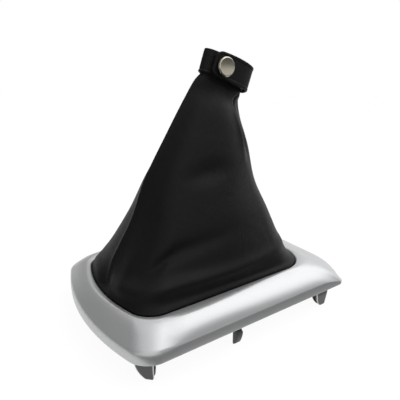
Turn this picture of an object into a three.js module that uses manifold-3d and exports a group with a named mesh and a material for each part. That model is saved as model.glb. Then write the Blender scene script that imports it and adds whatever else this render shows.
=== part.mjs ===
// A gear lever gaiter: a sewn leatherette boot with a snap-fastened collar, clamped under the lip of a
// silver moulded bezel that clips into the centre console. Millimetres, +Z up, X along the bezel.
// The origin is under the middle of the bezel, at the level of the clip tips.
import * as THREE from 'three';
import { mergeVertices } from 'three/addons/utils/BufferGeometryUtils.js';
import Module from 'manifold-3d';

const wasm = await Module();
wasm.setup();

// Opening of the bezel, in plan. One end is bowed, the other is square.
const OPENING_LENGTH = 142.5;
const OPENING_WIDTH = 102;
const OPENING_BOW = 11;
const OPENING_BOWED_RADIUS = 11.6;
const OPENING_SQUARE_RADIUS = 26.5;

// Rim round the opening
const RIM_SIDE = 19.4;
const RIM_BOWED = 15;
const RIM_BOW = 14;
const RIM_SQUARE = 23.6;
const RIM_BOWED_RADIUS = 11.5;
const RIM_SQUARE_RADIUS = 4;
const SQUARE_DRAW_IN = 4.1;
const RIM_HEIGHT = 17.7;
const RIM_LIFT = 15;
const WALL = 2.2;
const TOP_WALL = 2.4;
const TOP_BAND_SIDE = 8.6;
const TOP_BAND_ENDS = 5.4;
const TOP_BAND_CROWN = 0.35;
const LIP_RADIUS = 2;
const LIP_DEPTH = 9.2;

// Crease between the rim's slope and its upright edge, below the opening's plane
const CREASE_DROP_SIDE = 10.3;
const CREASE_DROP_SQUARE = 7;
const CREASE_DROP_CORNER = 15.6;
const CORNER_DIP_REACH = 17;
const CREASE_ROUND = 0.6;

// The slope is a curve drawn towards a point at these shares of its run and of its drop
const SIDE_PULL = { run: 0.62, drop: 0.28 };
const BOWED_PULL = { run: 0.8, drop: 0.16 };
const SLOPE_STEPS = [0.12, 0.4, 0.7];
const BOWED_CREASE_IN = 0.18;

// Distances from an end of the rim over which that end's section takes over from the side's
const BOWED_BLEND = { from: 32.3, to: 6.8 };
const SQUARE_BLEND = { from: 43.2, to: 4.8, side: 12 };

// Fits
const GAP = 0.3;
const LEATHER = 1.3;
const BOOT_CLEARANCE = 0.5;

// Retainer ring under the lip
const RETAINER_WALL = 2;
const RETAINER_WALL_RISE = 8.3;
const RETAINER_FLANGE = 2.5;
const RETAINER_REACH = 9.5;

// Screws that hold the retainer
const SCREW_SHANK_RADIUS = 1.4;
const SCREW_HEAD_RADIUS = 3;
const SCREW_HEAD_HEIGHT = 2;
const SCREW_BITE = 5.5;
const BOSS_RADIUS = 3;
const BOSS_OFFSET = 6;
const SCREW_SPACING = 46;

// Blades along the rim: fins, upright on one side and bowed to a round tip on the other
const BLADE_THICKNESS = 2;
const BLADE_INSET = 5.4;
const BLADE_WIDTH = 12;
const BLADE_TRIM = 0.4;
const FIN_TAPER = 0.6;
const FIN_TIP_RISE = 3;
const FIN_TIP_IN = 4.4;
const FIN_BOW_IN = 1.4;
const FIN_BOW_RISE = 12;
const CORNER_CLIP_ANGLE = 34;
const SQUARE_CLIP_FROM_END = 25.8;

// Spring clips folded round the blades
const CLIP_SHEET = 0.7;
const CLIP_FLARE = 1.3;
const CLIP_FOLD = 1.6;
const CLIP_KINK_DROP = 3;
const CLIP_ABOVE_RIM = 3.5;

// Snap hooks moulded in the middle of the long sides, and the console's edge that they grip
const HOOK_WIDTH = 5;
const HOOK_DEPTH = 2.6;
const HOOK_BARB = 2.2;
const HOOK_NOSE = 0.9;
const HOOK_X = -12;
const CONSOLE_EDGE = 2.8;

// Boot and collar
const COLLAR_X = 21;
const COLLAR_RISE = 143;
const COLLAR_TILT = 19.5;
const COLLAR_LENGTH = 41;
const COLLAR_DEPTH = 13;
const COLLAR_FLATNESS = 4.6;
const COLLAR_PINCH = 1.6;
const BAND_ABOVE = 8.8;
const BAND_BELOW = 7.5;
const STRAP_BELOW = 7.8;
const STRAP_THICKNESS = 1.5;
const STRAP_LIFT = 2.4;
const STRAP_TAB_END = -15;
const STRAP_TAIL = -4;
const TAB_CUT = 3.2;
const BAND_EDGE = 0.5;
const SEAM_PINCH = 1.5;
const SEAM_PINCH_REACH = 6;

// Press stud
const SNAP_X = -7.4;
const SNAP_SHEET = 0.5;
const SNAP_CAP_RADIUS = 6.8;
const SNAP_CAP_HEIGHT = 2.2;
const SNAP_POST_RADIUS = 1.5;
const SNAP_SOCKET_RADIUS = 5;
const SNAP_SOCKET_BORE = 3;
const SNAP_STUD_RADIUS = 2.6;
const SNAP_STUD_HEIGHT = 1.3;
const SNAP_EYELET_RADIUS = 3.2;
const SNAP_EYELET_BORE = 0.8;

// Plan of the opening and of the rim, sampled at the same stations
const STEPS = { square: 3, squareCorner: 6, side: 9, bowedCorner: 7, bowed: 8 };

const OPENING_Z = RIM_LIFT + RIM_HEIGHT;
const RIM_LENGTH = RIM_BOWED + OPENING_BOW + OPENING_LENGTH + RIM_SQUARE;
const OPENING_X = RIM_LENGTH / 2 - RIM_SQUARE - OPENING_LENGTH / 2;
const RIM_HALF = OPENING_WIDTH / 2 + RIM_SIDE;
const rad = THREE.MathUtils.degToRad;
const lerp = THREE.MathUtils.lerp;
const clamp01 = (t) => THREE.MathUtils.clamp(t, 0, 1);
const smooth = (t) => THREE.MathUtils.smoothstep(t, 0, 1);
const ramp = (from, to, value) => smooth((value - from) / (to - from));

const opening = {
  left: OPENING_X - OPENING_LENGTH / 2,
  right: OPENING_X + OPENING_LENGTH / 2,
  half: OPENING_WIDTH / 2,
  bow: OPENING_BOW,
  bowedRadius: OPENING_BOWED_RADIUS,
  squareRadius: OPENING_SQUARE_RADIUS,
  drawIn: 0,
};
const rim = {
  left: opening.left - OPENING_BOW - RIM_BOWED + RIM_BOW,
  right: opening.right + RIM_SQUARE,
  half: RIM_HALF,
  bow: RIM_BOW,
  bowedRadius: RIM_BOWED_RADIUS,
  squareRadius: RIM_SQUARE_RADIUS,
  drawIn: SQUARE_DRAW_IN,
};

// How far an outline moves in X at a point: the bow of one end, over the last quarter of the length, and
// the drawn-in corners of the other, over the outer part of the width.
const DRAW_IN_FROM = 0.7;
function endShift(plan, x, y) {
  const middle = (plan.left + plan.right) / 2;
  const along = (x - middle) / ((plan.right - plan.left) / 2);
  const across = Math.abs(y) / plan.half;
  const toBowed = clamp01(-2 * along - 1);
  const toSquare = clamp01((across - DRAW_IN_FROM) / (1 - DRAW_IN_FROM)) ** 2 * clamp01(along);
  return -plan.bow * (1 - across ** 2) * toBowed - plan.drawIn * toSquare;
}

// One closed outline, counter-clockwise from the middle of the square end.
function outline(plan) {
  const { left, right, half, bowedRadius: rb, squareRadius: rs } = plan;
  const points = [];
  const line = (from, to, steps) => {
    for (let i = 0; i < steps; i++) points.push(from.clone().lerp(to, i / steps));
  };
  const arc = (cx, cy, r, start, steps) => {
    for (let i = 0; i < steps; i++) {
      const a = start + (Math.PI / 2) * (i / steps);
      points.push(new THREE.Vector2(cx + r * Math.cos(a), cy + r * Math.sin(a)));
    }
  };
  const v = (x, y) => new THREE.Vector2(x, y);
  line(v(right, 0), v(right, half - rs), STEPS.square);
  arc(right - rs, half - rs, rs, 0, STEPS.squareCorner);
  line(v(right - rs, half), v(left + rb, half), STEPS.side);
  arc(left + rb, half - rb, rb, Math.PI / 2, STEPS.bowedCorner);
  line(v(left, half - rb), v(left, rb - half), STEPS.bowed);
  arc(left + rb, rb - half, rb, Math.PI, STEPS.bowedCorner);
  line(v(left + rb, -half), v(right - rs, -half), STEPS.side);
  arc(right - rs, rs - half, rs, 1.5 * Math.PI, STEPS.squareCorner);
  line(v(right, rs - half), v(right, 0), STEPS.square);
  return points.map((p) => v(p.x + endShift(plan, p.x, p.y), p.y));
}

// Outward normals of a closed counter-clockwise outline.
function normals(points) {
  const n = points.length;
  return points.map((p, i) => {
    const t = points[(i + 1) % n].clone().sub(points[(i + n - 1) % n]).normalize();
    return new THREE.Vector2(t.y, -t.x);
  });
}

const innerEdge = outline(opening);
const innerNormals = normals(innerEdge);
const outerEdge = outline(rim);
const STATIONS = innerEdge.length;

// A solid from grid rows of points. Rows and columns each close on themselves where asked.
function gridGeometry(rows, closeRows) {
  const columns = rows[0].length;
  const position = [];
  rows.forEach((row) => row.forEach((p) => position.push(p.x, p.y, p.z)));
  const index = [];
  const rowCount = closeRows ? rows.length : rows.length - 1;
  for (let i = 0; i < rowCount; i++) {
    for (let j = 0; j < columns; j++) {
      const a = i * columns + j;
      const b = i * columns + ((j + 1) % columns);
      const c = ((i + 1) % rows.length) * columns + ((j + 1) % columns);
      const d = ((i + 1) % rows.length) * columns + j;
      index.push(a, b, c, a, c, d);
    }
  }
  const geometry = new THREE.BufferGeometry();
  geometry.setAttribute('position', new THREE.Float32BufferAttribute(position, 3));
  geometry.setIndex(index);
  return geometry;
}

function toSolid(geometry) {
  const g = geometry.clone();
  g.deleteAttribute('normal');
  g.deleteAttribute('uv');
  const merged = mergeVertices(g, 1e-4);
  return new wasm.Manifold(new wasm.Mesh({
    numProp: 3,
    vertProperties: new Float32Array(merged.attributes.position.array),
    triVerts: new Uint32Array(merged.index.array),
  }));
}

function toGeometry(solid) {
  const mesh = solid.getMesh();
  const geometry = new THREE.BufferGeometry();
  geometry.setAttribute('position', new THREE.BufferAttribute(new Float32Array(mesh.vertProperties), 3));
  geometry.setIndex(new THREE.BufferAttribute(new Uint32Array(mesh.triVerts), 1));
  return geometry;
}

// A quadratic curve from a to c, drawn towards b.
function bend(a, b, c, t) {
  return new THREE.Vector2(
    (1 - t) ** 2 * a.x + 2 * t * (1 - t) * b.x + t * t * c.x,
    (1 - t) ** 2 * a.y + 2 * t * (1 - t) * b.y + t * t * c.y,
  );
}

// How much a station belongs to the bowed end, to the square end and to a square corner.
function stationWeights(p) {
  const fromSide = RIM_HALF - Math.abs(p.y);
  const fromEnd = rim.right - p.x;
  return {
    bowed: ramp(BOWED_BLEND.from, BOWED_BLEND.to, p.x - rim.left),
    square: ramp(SQUARE_BLEND.from, SQUARE_BLEND.to, fromEnd) * smooth(fromSide / SQUARE_BLEND.side),
    corner: Math.exp(-((Math.hypot(fromEnd, fromSide) / CORNER_DIP_REACH) ** 2)),
  };
}

// Section of the bezel at one station, as distance outward from the opening and height about its plane.
function bezelSection(i) {
  const reach = outerEdge[i].distanceTo(innerEdge[i]);
  const { bowed, square, corner } = stationWeights(outerEdge[i]);
  const band = lerp(TOP_BAND_SIDE, TOP_BAND_ENDS, Math.max(bowed, square));
  const drop = lerp(lerp(CREASE_DROP_SIDE, CREASE_DROP_SQUARE, square), CREASE_DROP_CORNER, corner);
  const point = (d, z) => new THREE.Vector2(d, z);
  const crease = point(reach - BOWED_CREASE_IN * (reach - band) * bowed, -drop);
  const bandEnd = point(band, 0);
  const pull = point(
    lerp(band, crease.x, lerp(SIDE_PULL.run, BOWED_PULL.run, bowed)),
    -drop * lerp(SIDE_PULL.drop, BOWED_PULL.drop, bowed),
  );
  const lip = (turn) => point(LIP_RADIUS * (1 - Math.cos(turn)), LIP_RADIUS * (Math.sin(turn) - 1));
  return [
    point(0, -LIP_DEPTH),
    lip(0),
    lip(Math.PI / 4),
    lip(Math.PI / 2),
    point((LIP_RADIUS + band) / 2, TOP_BAND_CROWN),
    bandEnd,
    ...SLOPE_STEPS.map((t) => bend(bandEnd, pull, crease, t)),
    crease,
    point(reach, lerp(-drop - CREASE_ROUND, (-drop - RIM_HEIGHT) / 2, bowed)),
    point(reach, -RIM_HEIGHT),
    point(reach - WALL, -RIM_HEIGHT),
    point(crease.x - WALL, Math.max(-drop - WALL / 2, CREASE_ROUND - RIM_HEIGHT)),
    point(Math.max(WALL, band - WALL / 2), -TOP_WALL),
    point(WALL, -TOP_WALL),
    point(WALL, -LIP_DEPTH),
  ];
}

// A closed loop of sections round the opening, each given as distance outward and height.
function rimLoft(sectionAt) {
  const rows = innerEdge.map((p, i) => {
    const out = outerEdge[i].clone().sub(p).normalize();
    return sectionAt(i).map((q) => new THREE.Vector3(p.x + out.x * q.x, p.y + out.y * q.x, OPENING_Z + q.y));
  });
  return gridGeometry(rows, true);
}

// Everything under the middle of the bezel's wall, so that what stands there can't come through it.
function underRoof() {
  return toSolid(rimLoft((i) => {
    const section = bezelSection(i);
    const lipEnd = section.findIndex((q) => q.y === 0);
    const foot = section.findIndex((q, k) => k > lipEnd && q.y === -RIM_HEIGHT);
    const face = section.slice(lipEnd, foot).map((q) => new THREE.Vector2(q.x - WALL / 2, q.y - TOP_WALL / 2));
    const low = -OPENING_Z - 1;
    return [new THREE.Vector2(0, low), ...face, new THREE.Vector2(face.at(-1).x, low)];
  }));
}

// Points a given way outside the opening's edge.
function openingOffset(distance) {
  return innerEdge.map((p, i) => p.clone().addScaledVector(innerNormals[i], distance));
}

// Places along the two sides for the screws: [x, y]
function screwSpots() {
  const y = opening.half + BOSS_OFFSET;
  const spots = [];
  for (const side of [-1, 1]) {
    for (const k of [-1, 0, 1]) spots.push([OPENING_X + k * SCREW_SPACING, side * y]);
  }
  return spots;
}

function cylinder(radius, z0, z1, x, y, sides = 20) {
  const geometry = new THREE.CylinderGeometry(radius, radius, z1 - z0, sides);
  geometry.rotateX(Math.PI / 2);
  geometry.translate(x, y, (z0 + z1) / 2);
  return geometry;
}

// Point on the rim's bowed near corner at an angle past the end's own direction.
function cornerPoint(angle) {
  const a = Math.PI + angle;
  const r = rim.bowedRadius;
  const x = rim.left + r + r * Math.cos(a);
  const y = r - rim.half + r * Math.sin(a);
  return new THREE.Vector2(x + endShift(rim, x, y), y);
}

// Spots of the four blade clips: place inside the rim and the turn of the fin's face.
function clipSpots() {
  const at = rad(CORNER_CLIP_ANGLE);
  const foot = cornerPoint(at);
  const along = cornerPoint(at + 0.1).sub(cornerPoint(at - 0.1)).normalize();
  const wallRadius = rim.bowedRadius - WALL - GAP;
  const inset = BLADE_INSET + wallRadius - Math.sqrt(Math.max(0, wallRadius ** 2 - (BLADE_WIDTH / 2) ** 2));
  const near = [
    { name: 'near_left', x: foot.x - along.y * inset, y: foot.y + along.x * inset, turn: along.angle() },
    { name: 'near_right', x: rim.right - SQUARE_CLIP_FROM_END, y: BLADE_INSET - rim.half, turn: 0 },
  ];
  const far = near.map((s) => ({ ...s, name: s.name.replace('near', 'far'), mirror: true }));
  return [...near, ...far];
}

// Face outline of a fin, in its width and height: upright on one side, bowed to a round tip.
function finShape(width, top, tip, trim) {
  const right = width / 2 - trim;
  const left = -width / 2 + trim;
  const shape = new THREE.Shape();
  shape.moveTo(left, top);
  shape.lineTo(right, top);
  shape.lineTo(right - FIN_TAPER, tip + FIN_TIP_RISE);
  shape.quadraticCurveTo(right - FIN_TAPER, tip, right - FIN_TIP_IN, tip);
  shape.quadraticCurveTo(left + FIN_BOW_IN, tip + FIN_TIP_RISE, left, tip + FIN_BOW_RISE);
  shape.closePath();
  return shape;
}

// A solid from a fin outline, its thickness about the blade's plane; the width runs along X.
function finGeometry(width, top, tip, trim, thickness) {
  const geometry = new THREE.ExtrudeGeometry(finShape(width, top, tip, trim), {
    depth: thickness, bevelEnabled: false, curveSegments: 6,
  });
  geometry.translate(0, 0, -thickness / 2);
  geometry.rotateX(Math.PI / 2);
  return geometry;
}

// The mirror image across the long axis, with its faces turned to point outward again.
function mirrored(geometry) {
  const copy = mergeVertices(geometry).scale(1, -1, 1);
  const order = copy.index.array;
  for (let i = 0; i < order.length; i += 3) [order[i + 1], order[i + 2]] = [order[i + 2], order[i + 1]];
  return copy;
}

function placeClip(geometry, spot) {
  geometry.rotateZ(spot.turn);
  geometry.translate(spot.x, spot.y, 0);
  return spot.mirror ? mirrored(geometry) : geometry;
}

const BLADE_TIP = CLIP_SHEET + 2 * GAP;

function blade(spot) {
  return placeClip(finGeometry(BLADE_WIDTH, OPENING_Z, BLADE_TIP, BLADE_TRIM, BLADE_THICKNESS), spot);
}

// Moulded snap hook in the middle of a side: a post with a barb that faces outward.
function hook(side) {
  const back = BLADE_INSET + HOOK_DEPTH / 2;
  const barb = HOOK_DEPTH + HOOK_BARB;
  const shoulder = RIM_LIFT - CONSOLE_EDGE;
  const shape = new THREE.Shape();
  shape.moveTo(0, OPENING_Z);
  shape.lineTo(0, HOOK_NOSE);
  shape.quadraticCurveTo(0, 0, HOOK_NOSE, 0);
  shape.lineTo(HOOK_DEPTH - HOOK_NOSE / 2, HOOK_NOSE);
  shape.quadraticCurveTo(barb, shoulder / 2, barb, shoulder - HOOK_BARB);
  shape.lineTo(HOOK_DEPTH, shoulder);
  shape.lineTo(HOOK_DEPTH, OPENING_Z);
  shape.closePath();
  const geometry = new THREE.ExtrudeGeometry(shape, { depth: HOOK_WIDTH, bevelEnabled: false, curveSegments: 5 });
  geometry.translate(0, 0, -HOOK_WIDTH / 2);
  geometry.rotateX(Math.PI / 2);
  geometry.rotateZ(side * Math.PI / 2);
  geometry.translate(HOOK_X, side * (RIM_HALF - back), 0);
  return geometry;
}

function bezel() {
  let body = toSolid(rimLoft(bezelSection));
  const room = underRoof();
  const addUnder = (geometry) => { body = body.add(toSolid(geometry).intersect(room)); };
  const bottom = OPENING_Z - LIP_DEPTH;
  const pilot = SCREW_SHANK_RADIUS + GAP;
  for (const [x, y] of screwSpots()) {
    addUnder(cylinder(BOSS_RADIUS, bottom, OPENING_Z, x, y));
    body = body.subtract(toSolid(cylinder(pilot, bottom - 1, bottom + SCREW_BITE + GAP, x, y)));
  }
  for (const spot of clipSpots()) addUnder(blade(spot));
  for (const side of [-1, 1]) addUnder(hook(side));
  return toGeometry(body);
}

// Spring clip: a folded strip, its fold at the tip and its two leaves flared, cut to the fin's outline.
function clip(spot) {
  const half = BLADE_THICKNESS / 2 + GAP;
  const top = RIM_LIFT + CLIP_ABOVE_RIM;
  const shape = new THREE.Shape();
  const outer = half + CLIP_SHEET;
  const flare = outer + CLIP_FLARE;
  const kink = RIM_LIFT - CLIP_KINK_DROP;
  const innerFold = CLIP_FOLD + CLIP_SHEET / 2;
  shape.moveTo(-outer, CLIP_FOLD);
  shape.quadraticCurveTo(-outer, 0, 0, 0);
  shape.quadraticCurveTo(outer, 0, outer, CLIP_FOLD);
  shape.lineTo(flare, kink);
  shape.lineTo(outer, top);
  shape.lineTo(half, top);
  shape.lineTo(flare - CLIP_SHEET, kink);
  shape.lineTo(half, innerFold);
  shape.quadraticCurveTo(half, CLIP_SHEET, 0, CLIP_SHEET);
  shape.quadraticCurveTo(-half, CLIP_SHEET, -half, innerFold);
  shape.lineTo(CLIP_SHEET - flare, kink);
  shape.lineTo(-half, top);
  shape.lineTo(-outer, top);
  shape.lineTo(-flare, kink);
  shape.closePath();
  const strip = new THREE.ExtrudeGeometry(shape, { depth: BLADE_WIDTH, bevelEnabled: false, curveSegments: 4 });
  strip.translate(0, 0, -BLADE_WIDTH / 2);
  strip.rotateX(Math.PI / 2);
  strip.rotateZ(Math.PI / 2);
  const outlineCut = finGeometry(BLADE_WIDTH, top + 1, 0, 0, 4 * flare);
  return placeClip(toGeometry(toSolid(strip).intersect(toSolid(outlineCut))), spot);
}

function retainer() {
  const top = OPENING_Z - LIP_DEPTH - GAP;
  const inside = -(BOOT_CLEARANCE + LEATHER + GAP);
  const levels = [
    [RETAINER_REACH, top - RETAINER_FLANGE],
    [RETAINER_REACH, top],
    [inside, top],
    [inside, top + RETAINER_WALL_RISE],
    [inside - RETAINER_WALL, top + RETAINER_WALL_RISE],
    [inside - RETAINER_WALL, top - RETAINER_FLANGE],
  ];
  const rings = levels.map(([d, z]) => openingOffset(d).map((p) => new THREE.Vector3(p.x, p.y, z)));
  let body = toSolid(gridGeometry(rings, true));
  for (const [x, y] of screwSpots()) {
    body = body.subtract(toSolid(cylinder(SCREW_SHANK_RADIUS + GAP, top - 2 * RETAINER_FLANGE, top + 1, x, y)));
  }
  return toGeometry(body);
}

// Pan-head screw from below, its shank in the boss.
function screw([x, y]) {
  const seat = OPENING_Z - LIP_DEPTH - GAP - RETAINER_FLANGE - GAP;
  const end = OPENING_Z - LIP_DEPTH + SCREW_BITE;
  const profile = [
    [0, seat - SCREW_HEAD_HEIGHT],
    [SCREW_HEAD_RADIUS - SCREW_HEAD_HEIGHT / 2, seat - SCREW_HEAD_HEIGHT],
    [SCREW_HEAD_RADIUS, seat - SCREW_HEAD_HEIGHT / 2],
    [SCREW_HEAD_RADIUS, seat],
    [SCREW_SHANK_RADIUS, seat],
    [SCREW_SHANK_RADIUS, end - SCREW_SHANK_RADIUS],
    [0, end],
  ].map(([r, z]) => new THREE.Vector2(r, z));
  const geometry = new THREE.LatheGeometry(profile, 14);
  geometry.rotateX(Math.PI / 2);
  geometry.translate(x, y, 0);
  return geometry;
}

// The collar leans towards the square end. Its own axes: along its length, across it and up.
const collarFrame = new THREE.Matrix4().makeRotationY(rad(COLLAR_TILT))
  .setPosition(OPENING_X + COLLAR_X, 0, OPENING_Z + COLLAR_RISE);

// Point on the pinched oval round the collar at a turn from 0 to 1, a given way outside the band's face.
// Its faces are flat and its two ends are drawn to a fold.
function collarPoint(turn, outside, up) {
  const cos = Math.cos(turn * 2 * Math.PI);
  const sin = Math.sin(turn * 2 * Math.PI);
  const x = Math.sign(cos) * Math.abs(cos) ** (2 / COLLAR_FLATNESS);
  const y = Math.sign(sin) * Math.abs(sin) ** (2 / COLLAR_PINCH);
  const steep = (v, power, size) => Math.sign(v) * power * Math.abs(v) ** (power - 1) / size;
  const n = new THREE.Vector2(
    steep(x, COLLAR_FLATNESS, COLLAR_LENGTH / 2),
    steep(y, COLLAR_PINCH, COLLAR_DEPTH / 2),
  ).normalize();
  return new THREE.Vector3(x * COLLAR_LENGTH / 2 + n.x * outside, y * COLLAR_DEPTH / 2 + n.y * outside, up);
}

// Turn of each station: the opening's stations spread over the oval by their direction.
const middleX = (opening.left + opening.right) / 2;
const stationTurn = innerEdge.map((p) => {
  const a = Math.atan2(p.y / opening.half, (p.x - middleX) / (OPENING_LENGTH / 2));
  return (a / (2 * Math.PI) + 1) % 1;
});

// Rise of the boot from the rim to the band, how far its left ridge, right ridge and two faces have come
// in there, each from 0 at the rim to 1 at the band, and how far its section has become a lens.
const BOOT_PROFILE = [
  [0, 0, 0, 0, 0],
  [0.043, 0.06, 0.062, 0.057, 0.226],
  [0.145, 0.114, 0.168, 0.073, 0.342],
  [0.326, 0.309, 0.415, 0.276, 0.444],
  [0.5, 0.439, 0.623, 0.48, 0.605],
  [0.724, 0.678, 0.752, 0.678, 0.723],
  [0.868, 0.83, 0.97, 0.813, 0.809],
  [0.955, 0.909, 1.037, 0.953, 0.886],
  [0.98, 0.932, 0.905, 0.977, 0.947],
  [1, 1, 1, 1, 1],
];

// Rise above which the lens becomes the collar's oval
const OVAL_FROM = 0.85;

// Smooth value of one column of the profile at a rise.
function profileAt(rise, column) {
  const t = clamp01(rise);
  let k = BOOT_PROFILE.findIndex((row) => row[0] >= t);
  k = Math.max(1, k);
  const row = (i) => BOOT_PROFILE[THREE.MathUtils.clamp(i, 0, BOOT_PROFILE.length - 1)];
  const [p0, p1, p2, p3] = [row(k - 2), row(k - 1), row(k), row(k + 1)];
  const h = p2[0] - p1[0];
  const u = (t - p1[0]) / h;
  const slope = (a, b) => (b[0] > a[0] ? (b[column] - a[column]) / (b[0] - a[0]) : 0);
  const m1 = slope(p0, p2) * h;
  const m2 = slope(p1, p3) * h;
  const u2 = u * u;
  const u3 = u2 * u;
  return (2 * u3 - 3 * u2 + 1) * p1[column] + (u3 - 2 * u2 + u) * m1
    + (3 * u2 - 2 * u3) * p2[column] + (u3 - u2) * m2;
}

// Folds and hollows of the leatherette: station turn, rise, their reach each way, depth and slant.
const FOLDS = [
  { turn: 0.63, rise: 0.09, around: 0.06, up: 0.05, out: 3.2, slant: 0.1 },
  { turn: 0.72, rise: 0.13, around: 0.07, up: 0.05, out: 2.6, slant: 0.24 },
  { turn: 0.74, rise: 0.04, around: 0.08, up: 0.035, out: -3.5, slant: 0 },
  { turn: 0.73, rise: 0.42, around: 0.05, up: 0.1, out: -2.2, slant: 0.08 },
  { turn: 0.9, rise: 0.8, around: 0.035, up: 0.16, out: -2.4, slant: -0.04 },
  { turn: 0.34, rise: 0.1, around: 0.08, up: 0.05, out: 2.8, slant: -0.12 },
  { turn: 0.25, rise: 0.3, around: 0.07, up: 0.12, out: -2.5, slant: 0.04 },
  { turn: 0.1, rise: 0.75, around: 0.035, up: 0.16, out: -2, slant: 0.04 },
];

// Folds die away within a few stations of a ridge and close above the rim
const FOLD_FADE_STATIONS = 3;
const FOLD_FADE_RISE = 0.03;

function foldAt(turn, rise) {
  return FOLDS.reduce((sum, f) => {
    const du = (turn - f.turn - f.slant * (rise - f.rise)) / f.around;
    const dv = (rise - f.rise) / f.up;
    return sum + f.out * Math.exp(-du * du - dv * dv);
  }, 0);
}

// How far the leatherette is drawn in beside a seam's ridge, by the distance from it and the height.
const SEAM_FADE = { rim: 0.05, neck: 0.1 };
function seamPinch(distance, height) {
  const rise = clamp01(height / NECK_RISE);
  const shape = (distance / SEAM_PINCH_REACH) * Math.exp(1 - distance / SEAM_PINCH_REACH);
  return SEAM_PINCH * shape * smooth(rise / SEAM_FADE.rim) * smooth((1 - rise) / SEAM_FADE.neck);
}

const BOOT_TOP_RISE = COLLAR_RISE + (BAND_ABOVE - LEATHER) * Math.cos(rad(COLLAR_TILT));
const NECK_RISE = COLLAR_RISE - (BAND_BELOW + LEATHER) * Math.cos(rad(COLLAR_TILT));

// Outer face of the boot at a station, at a height above the opening's plane.
function bootPoint(i, height) {
  const inset = openingOffset(-BOOT_CLEARANCE)[i];
  const baseLeft = opening.left - OPENING_BOW + BOOT_CLEARANCE;
  const baseRight = opening.right - BOOT_CLEARANCE;
  const baseHalf = opening.half - BOOT_CLEARANCE;
  const rise = clamp01(height / NECK_RISE);
  const tilt = Math.tan(rad(COLLAR_TILT)) * rise * rise;
  const axisX = OPENING_X + COLLAR_X + (height - COLLAR_RISE) * Math.tan(rad(COLLAR_TILT));
  const inLength = COLLAR_LENGTH / 2 - LEATHER - GAP;
  const inDepth = COLLAR_DEPTH / 2 - LEATHER - GAP;
  const inReach = inLength * Math.cos(rad(COLLAR_TILT));
  const bandX = rise < 1 ? OPENING_X + COLLAR_X + (NECK_RISE - COLLAR_RISE) * Math.tan(rad(COLLAR_TILT)) : axisX;
  const left = lerp(baseLeft, bandX - inReach, profileAt(rise, 1));
  const right = lerp(baseRight, bandX + inReach, profileAt(rise, 2));
  const half = lerp(baseHalf, inDepth, profileAt(rise, 3));
  const centre = (left + right) / 2;
  const squareX = (inset.x - (baseLeft + baseRight) / 2) / ((baseRight - baseLeft) / 2);
  const squareY = inset.y / baseHalf;
  const lensX = Math.cos(2 * Math.PI * stationTurn[i]);
  const lensY = Math.sign(squareY) * (1 - lensX ** 2);
  const lens = clamp01(profileAt(rise, 4));
  const oval = collarPoint(stationTurn[i], -LEATHER - GAP, 0);
  const round = ramp(OVAL_FROM, 1, rise);
  const x = centre + ((right - left) / 2) * lerp(lerp(squareX, lensX, lens), oval.x / inLength, round);
  const y = half * lerp(lerp(squareY, lensY, lens), oval.y / inDepth, round);
  return new THREE.Vector3(x, y, OPENING_Z + height - tilt * (x - centre));
}

// Heights of the boot's rows: close together at the rim and under the band, even between.
function bootHeights() {
  const steps = 18;
  const rows = [GAP - LIP_DEPTH, 0, LIP_RADIUS];
  const [puff, tuck] = BOOT_PROFILE.slice(-3).map(([rise]) => rise * NECK_RISE);
  for (let k = 1; k <= steps; k++) rows.push(lerp(LIP_RADIUS, puff, k / steps));
  rows.push(tuck, NECK_RISE, (NECK_RISE + COLLAR_RISE) / 2, BOOT_TOP_RISE);
  return rows;
}

// One half of the boot between its two ridges, as a folded sheet of even thickness.
function panel(first) {
  const half = STATIONS / 2;
  const heights = bootHeights();
  const face = heights.map((height) => {
    const row = [];
    for (let k = 0; k <= half; k++) {
      const i = (first + k) % STATIONS;
      const p = bootPoint(i, height);
      const rise = clamp01(height / NECK_RISE);
      const edge = Math.min(k, half - k);
      const fold = foldAt(((first + k) / STATIONS) % 1, rise);
      p.push = fold * smooth(edge / FOLD_FADE_STATIONS) * smooth(rise / FOLD_FADE_RISE);
      row.push(p);
    }
    const [start, end] = [row[0], row[half]];
    row.forEach((p) => { p.push -= seamPinch(Math.min(p.distanceTo(start), p.distanceTo(end)), height); });
    return row;
  });
  const normalAt = (r, c) => {
    const up = face[Math.min(r + 1, face.length - 1)][c].clone().sub(face[Math.max(r - 1, 0)][c]);
    const along = face[r][Math.min(c + 1, half)].clone().sub(face[r][Math.max(c - 1, 0)]);
    return along.cross(up).normalize();
  };
  const shifted = (inward) => face.map((row, r) => row.map(
    (p, c) => p.clone().addScaledVector(normalAt(r, c), p.push - inward),
  ));
  const [outer, inner] = [shifted(0), shifted(LEATHER)];
  const side = first === 0 ? 1 : -1;
  const keepToSide = (p) => new THREE.Vector3(p.x, side * Math.max(side * p.y, GAP / 2), p.z);
  return stackGeometry(outer.map((row, r) => [...row, ...inner[r].slice().reverse()].map(keepToSide)));
}

// The near half has the hole of the press stud's eyelet.
function nearPanel() {
  const hole = snapCylinder(SNAP_POST_RADIUS + GAP, -4 * LEATHER, 0).applyMatrix4(collarFrame);
  return toGeometry(toSolid(panel(STATIONS / 2)).subtract(toSolid(hole)));
}

// A solid from rings stacked upward, its first and last ring closed as strips between face and back.
function stackGeometry(rings) {
  const n = rings[0].length;
  const body = gridGeometry(rings, false);
  const index = Array.from(body.index.array);
  const capRing = (start, flip) => {
    for (let k = 0; k < n / 2 - 1; k++) {
      const [a, b, c, d] = [start + k, start + k + 1, start + n - 2 - k, start + n - 1 - k];
      if (flip) index.push(a, b, c, a, c, d);
      else index.push(a, c, b, a, d, c);
    }
  };
  capRing(0, false);
  capRing((rings.length - 1) * n, true);
  body.setIndex(index);
  return body;
}

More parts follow.
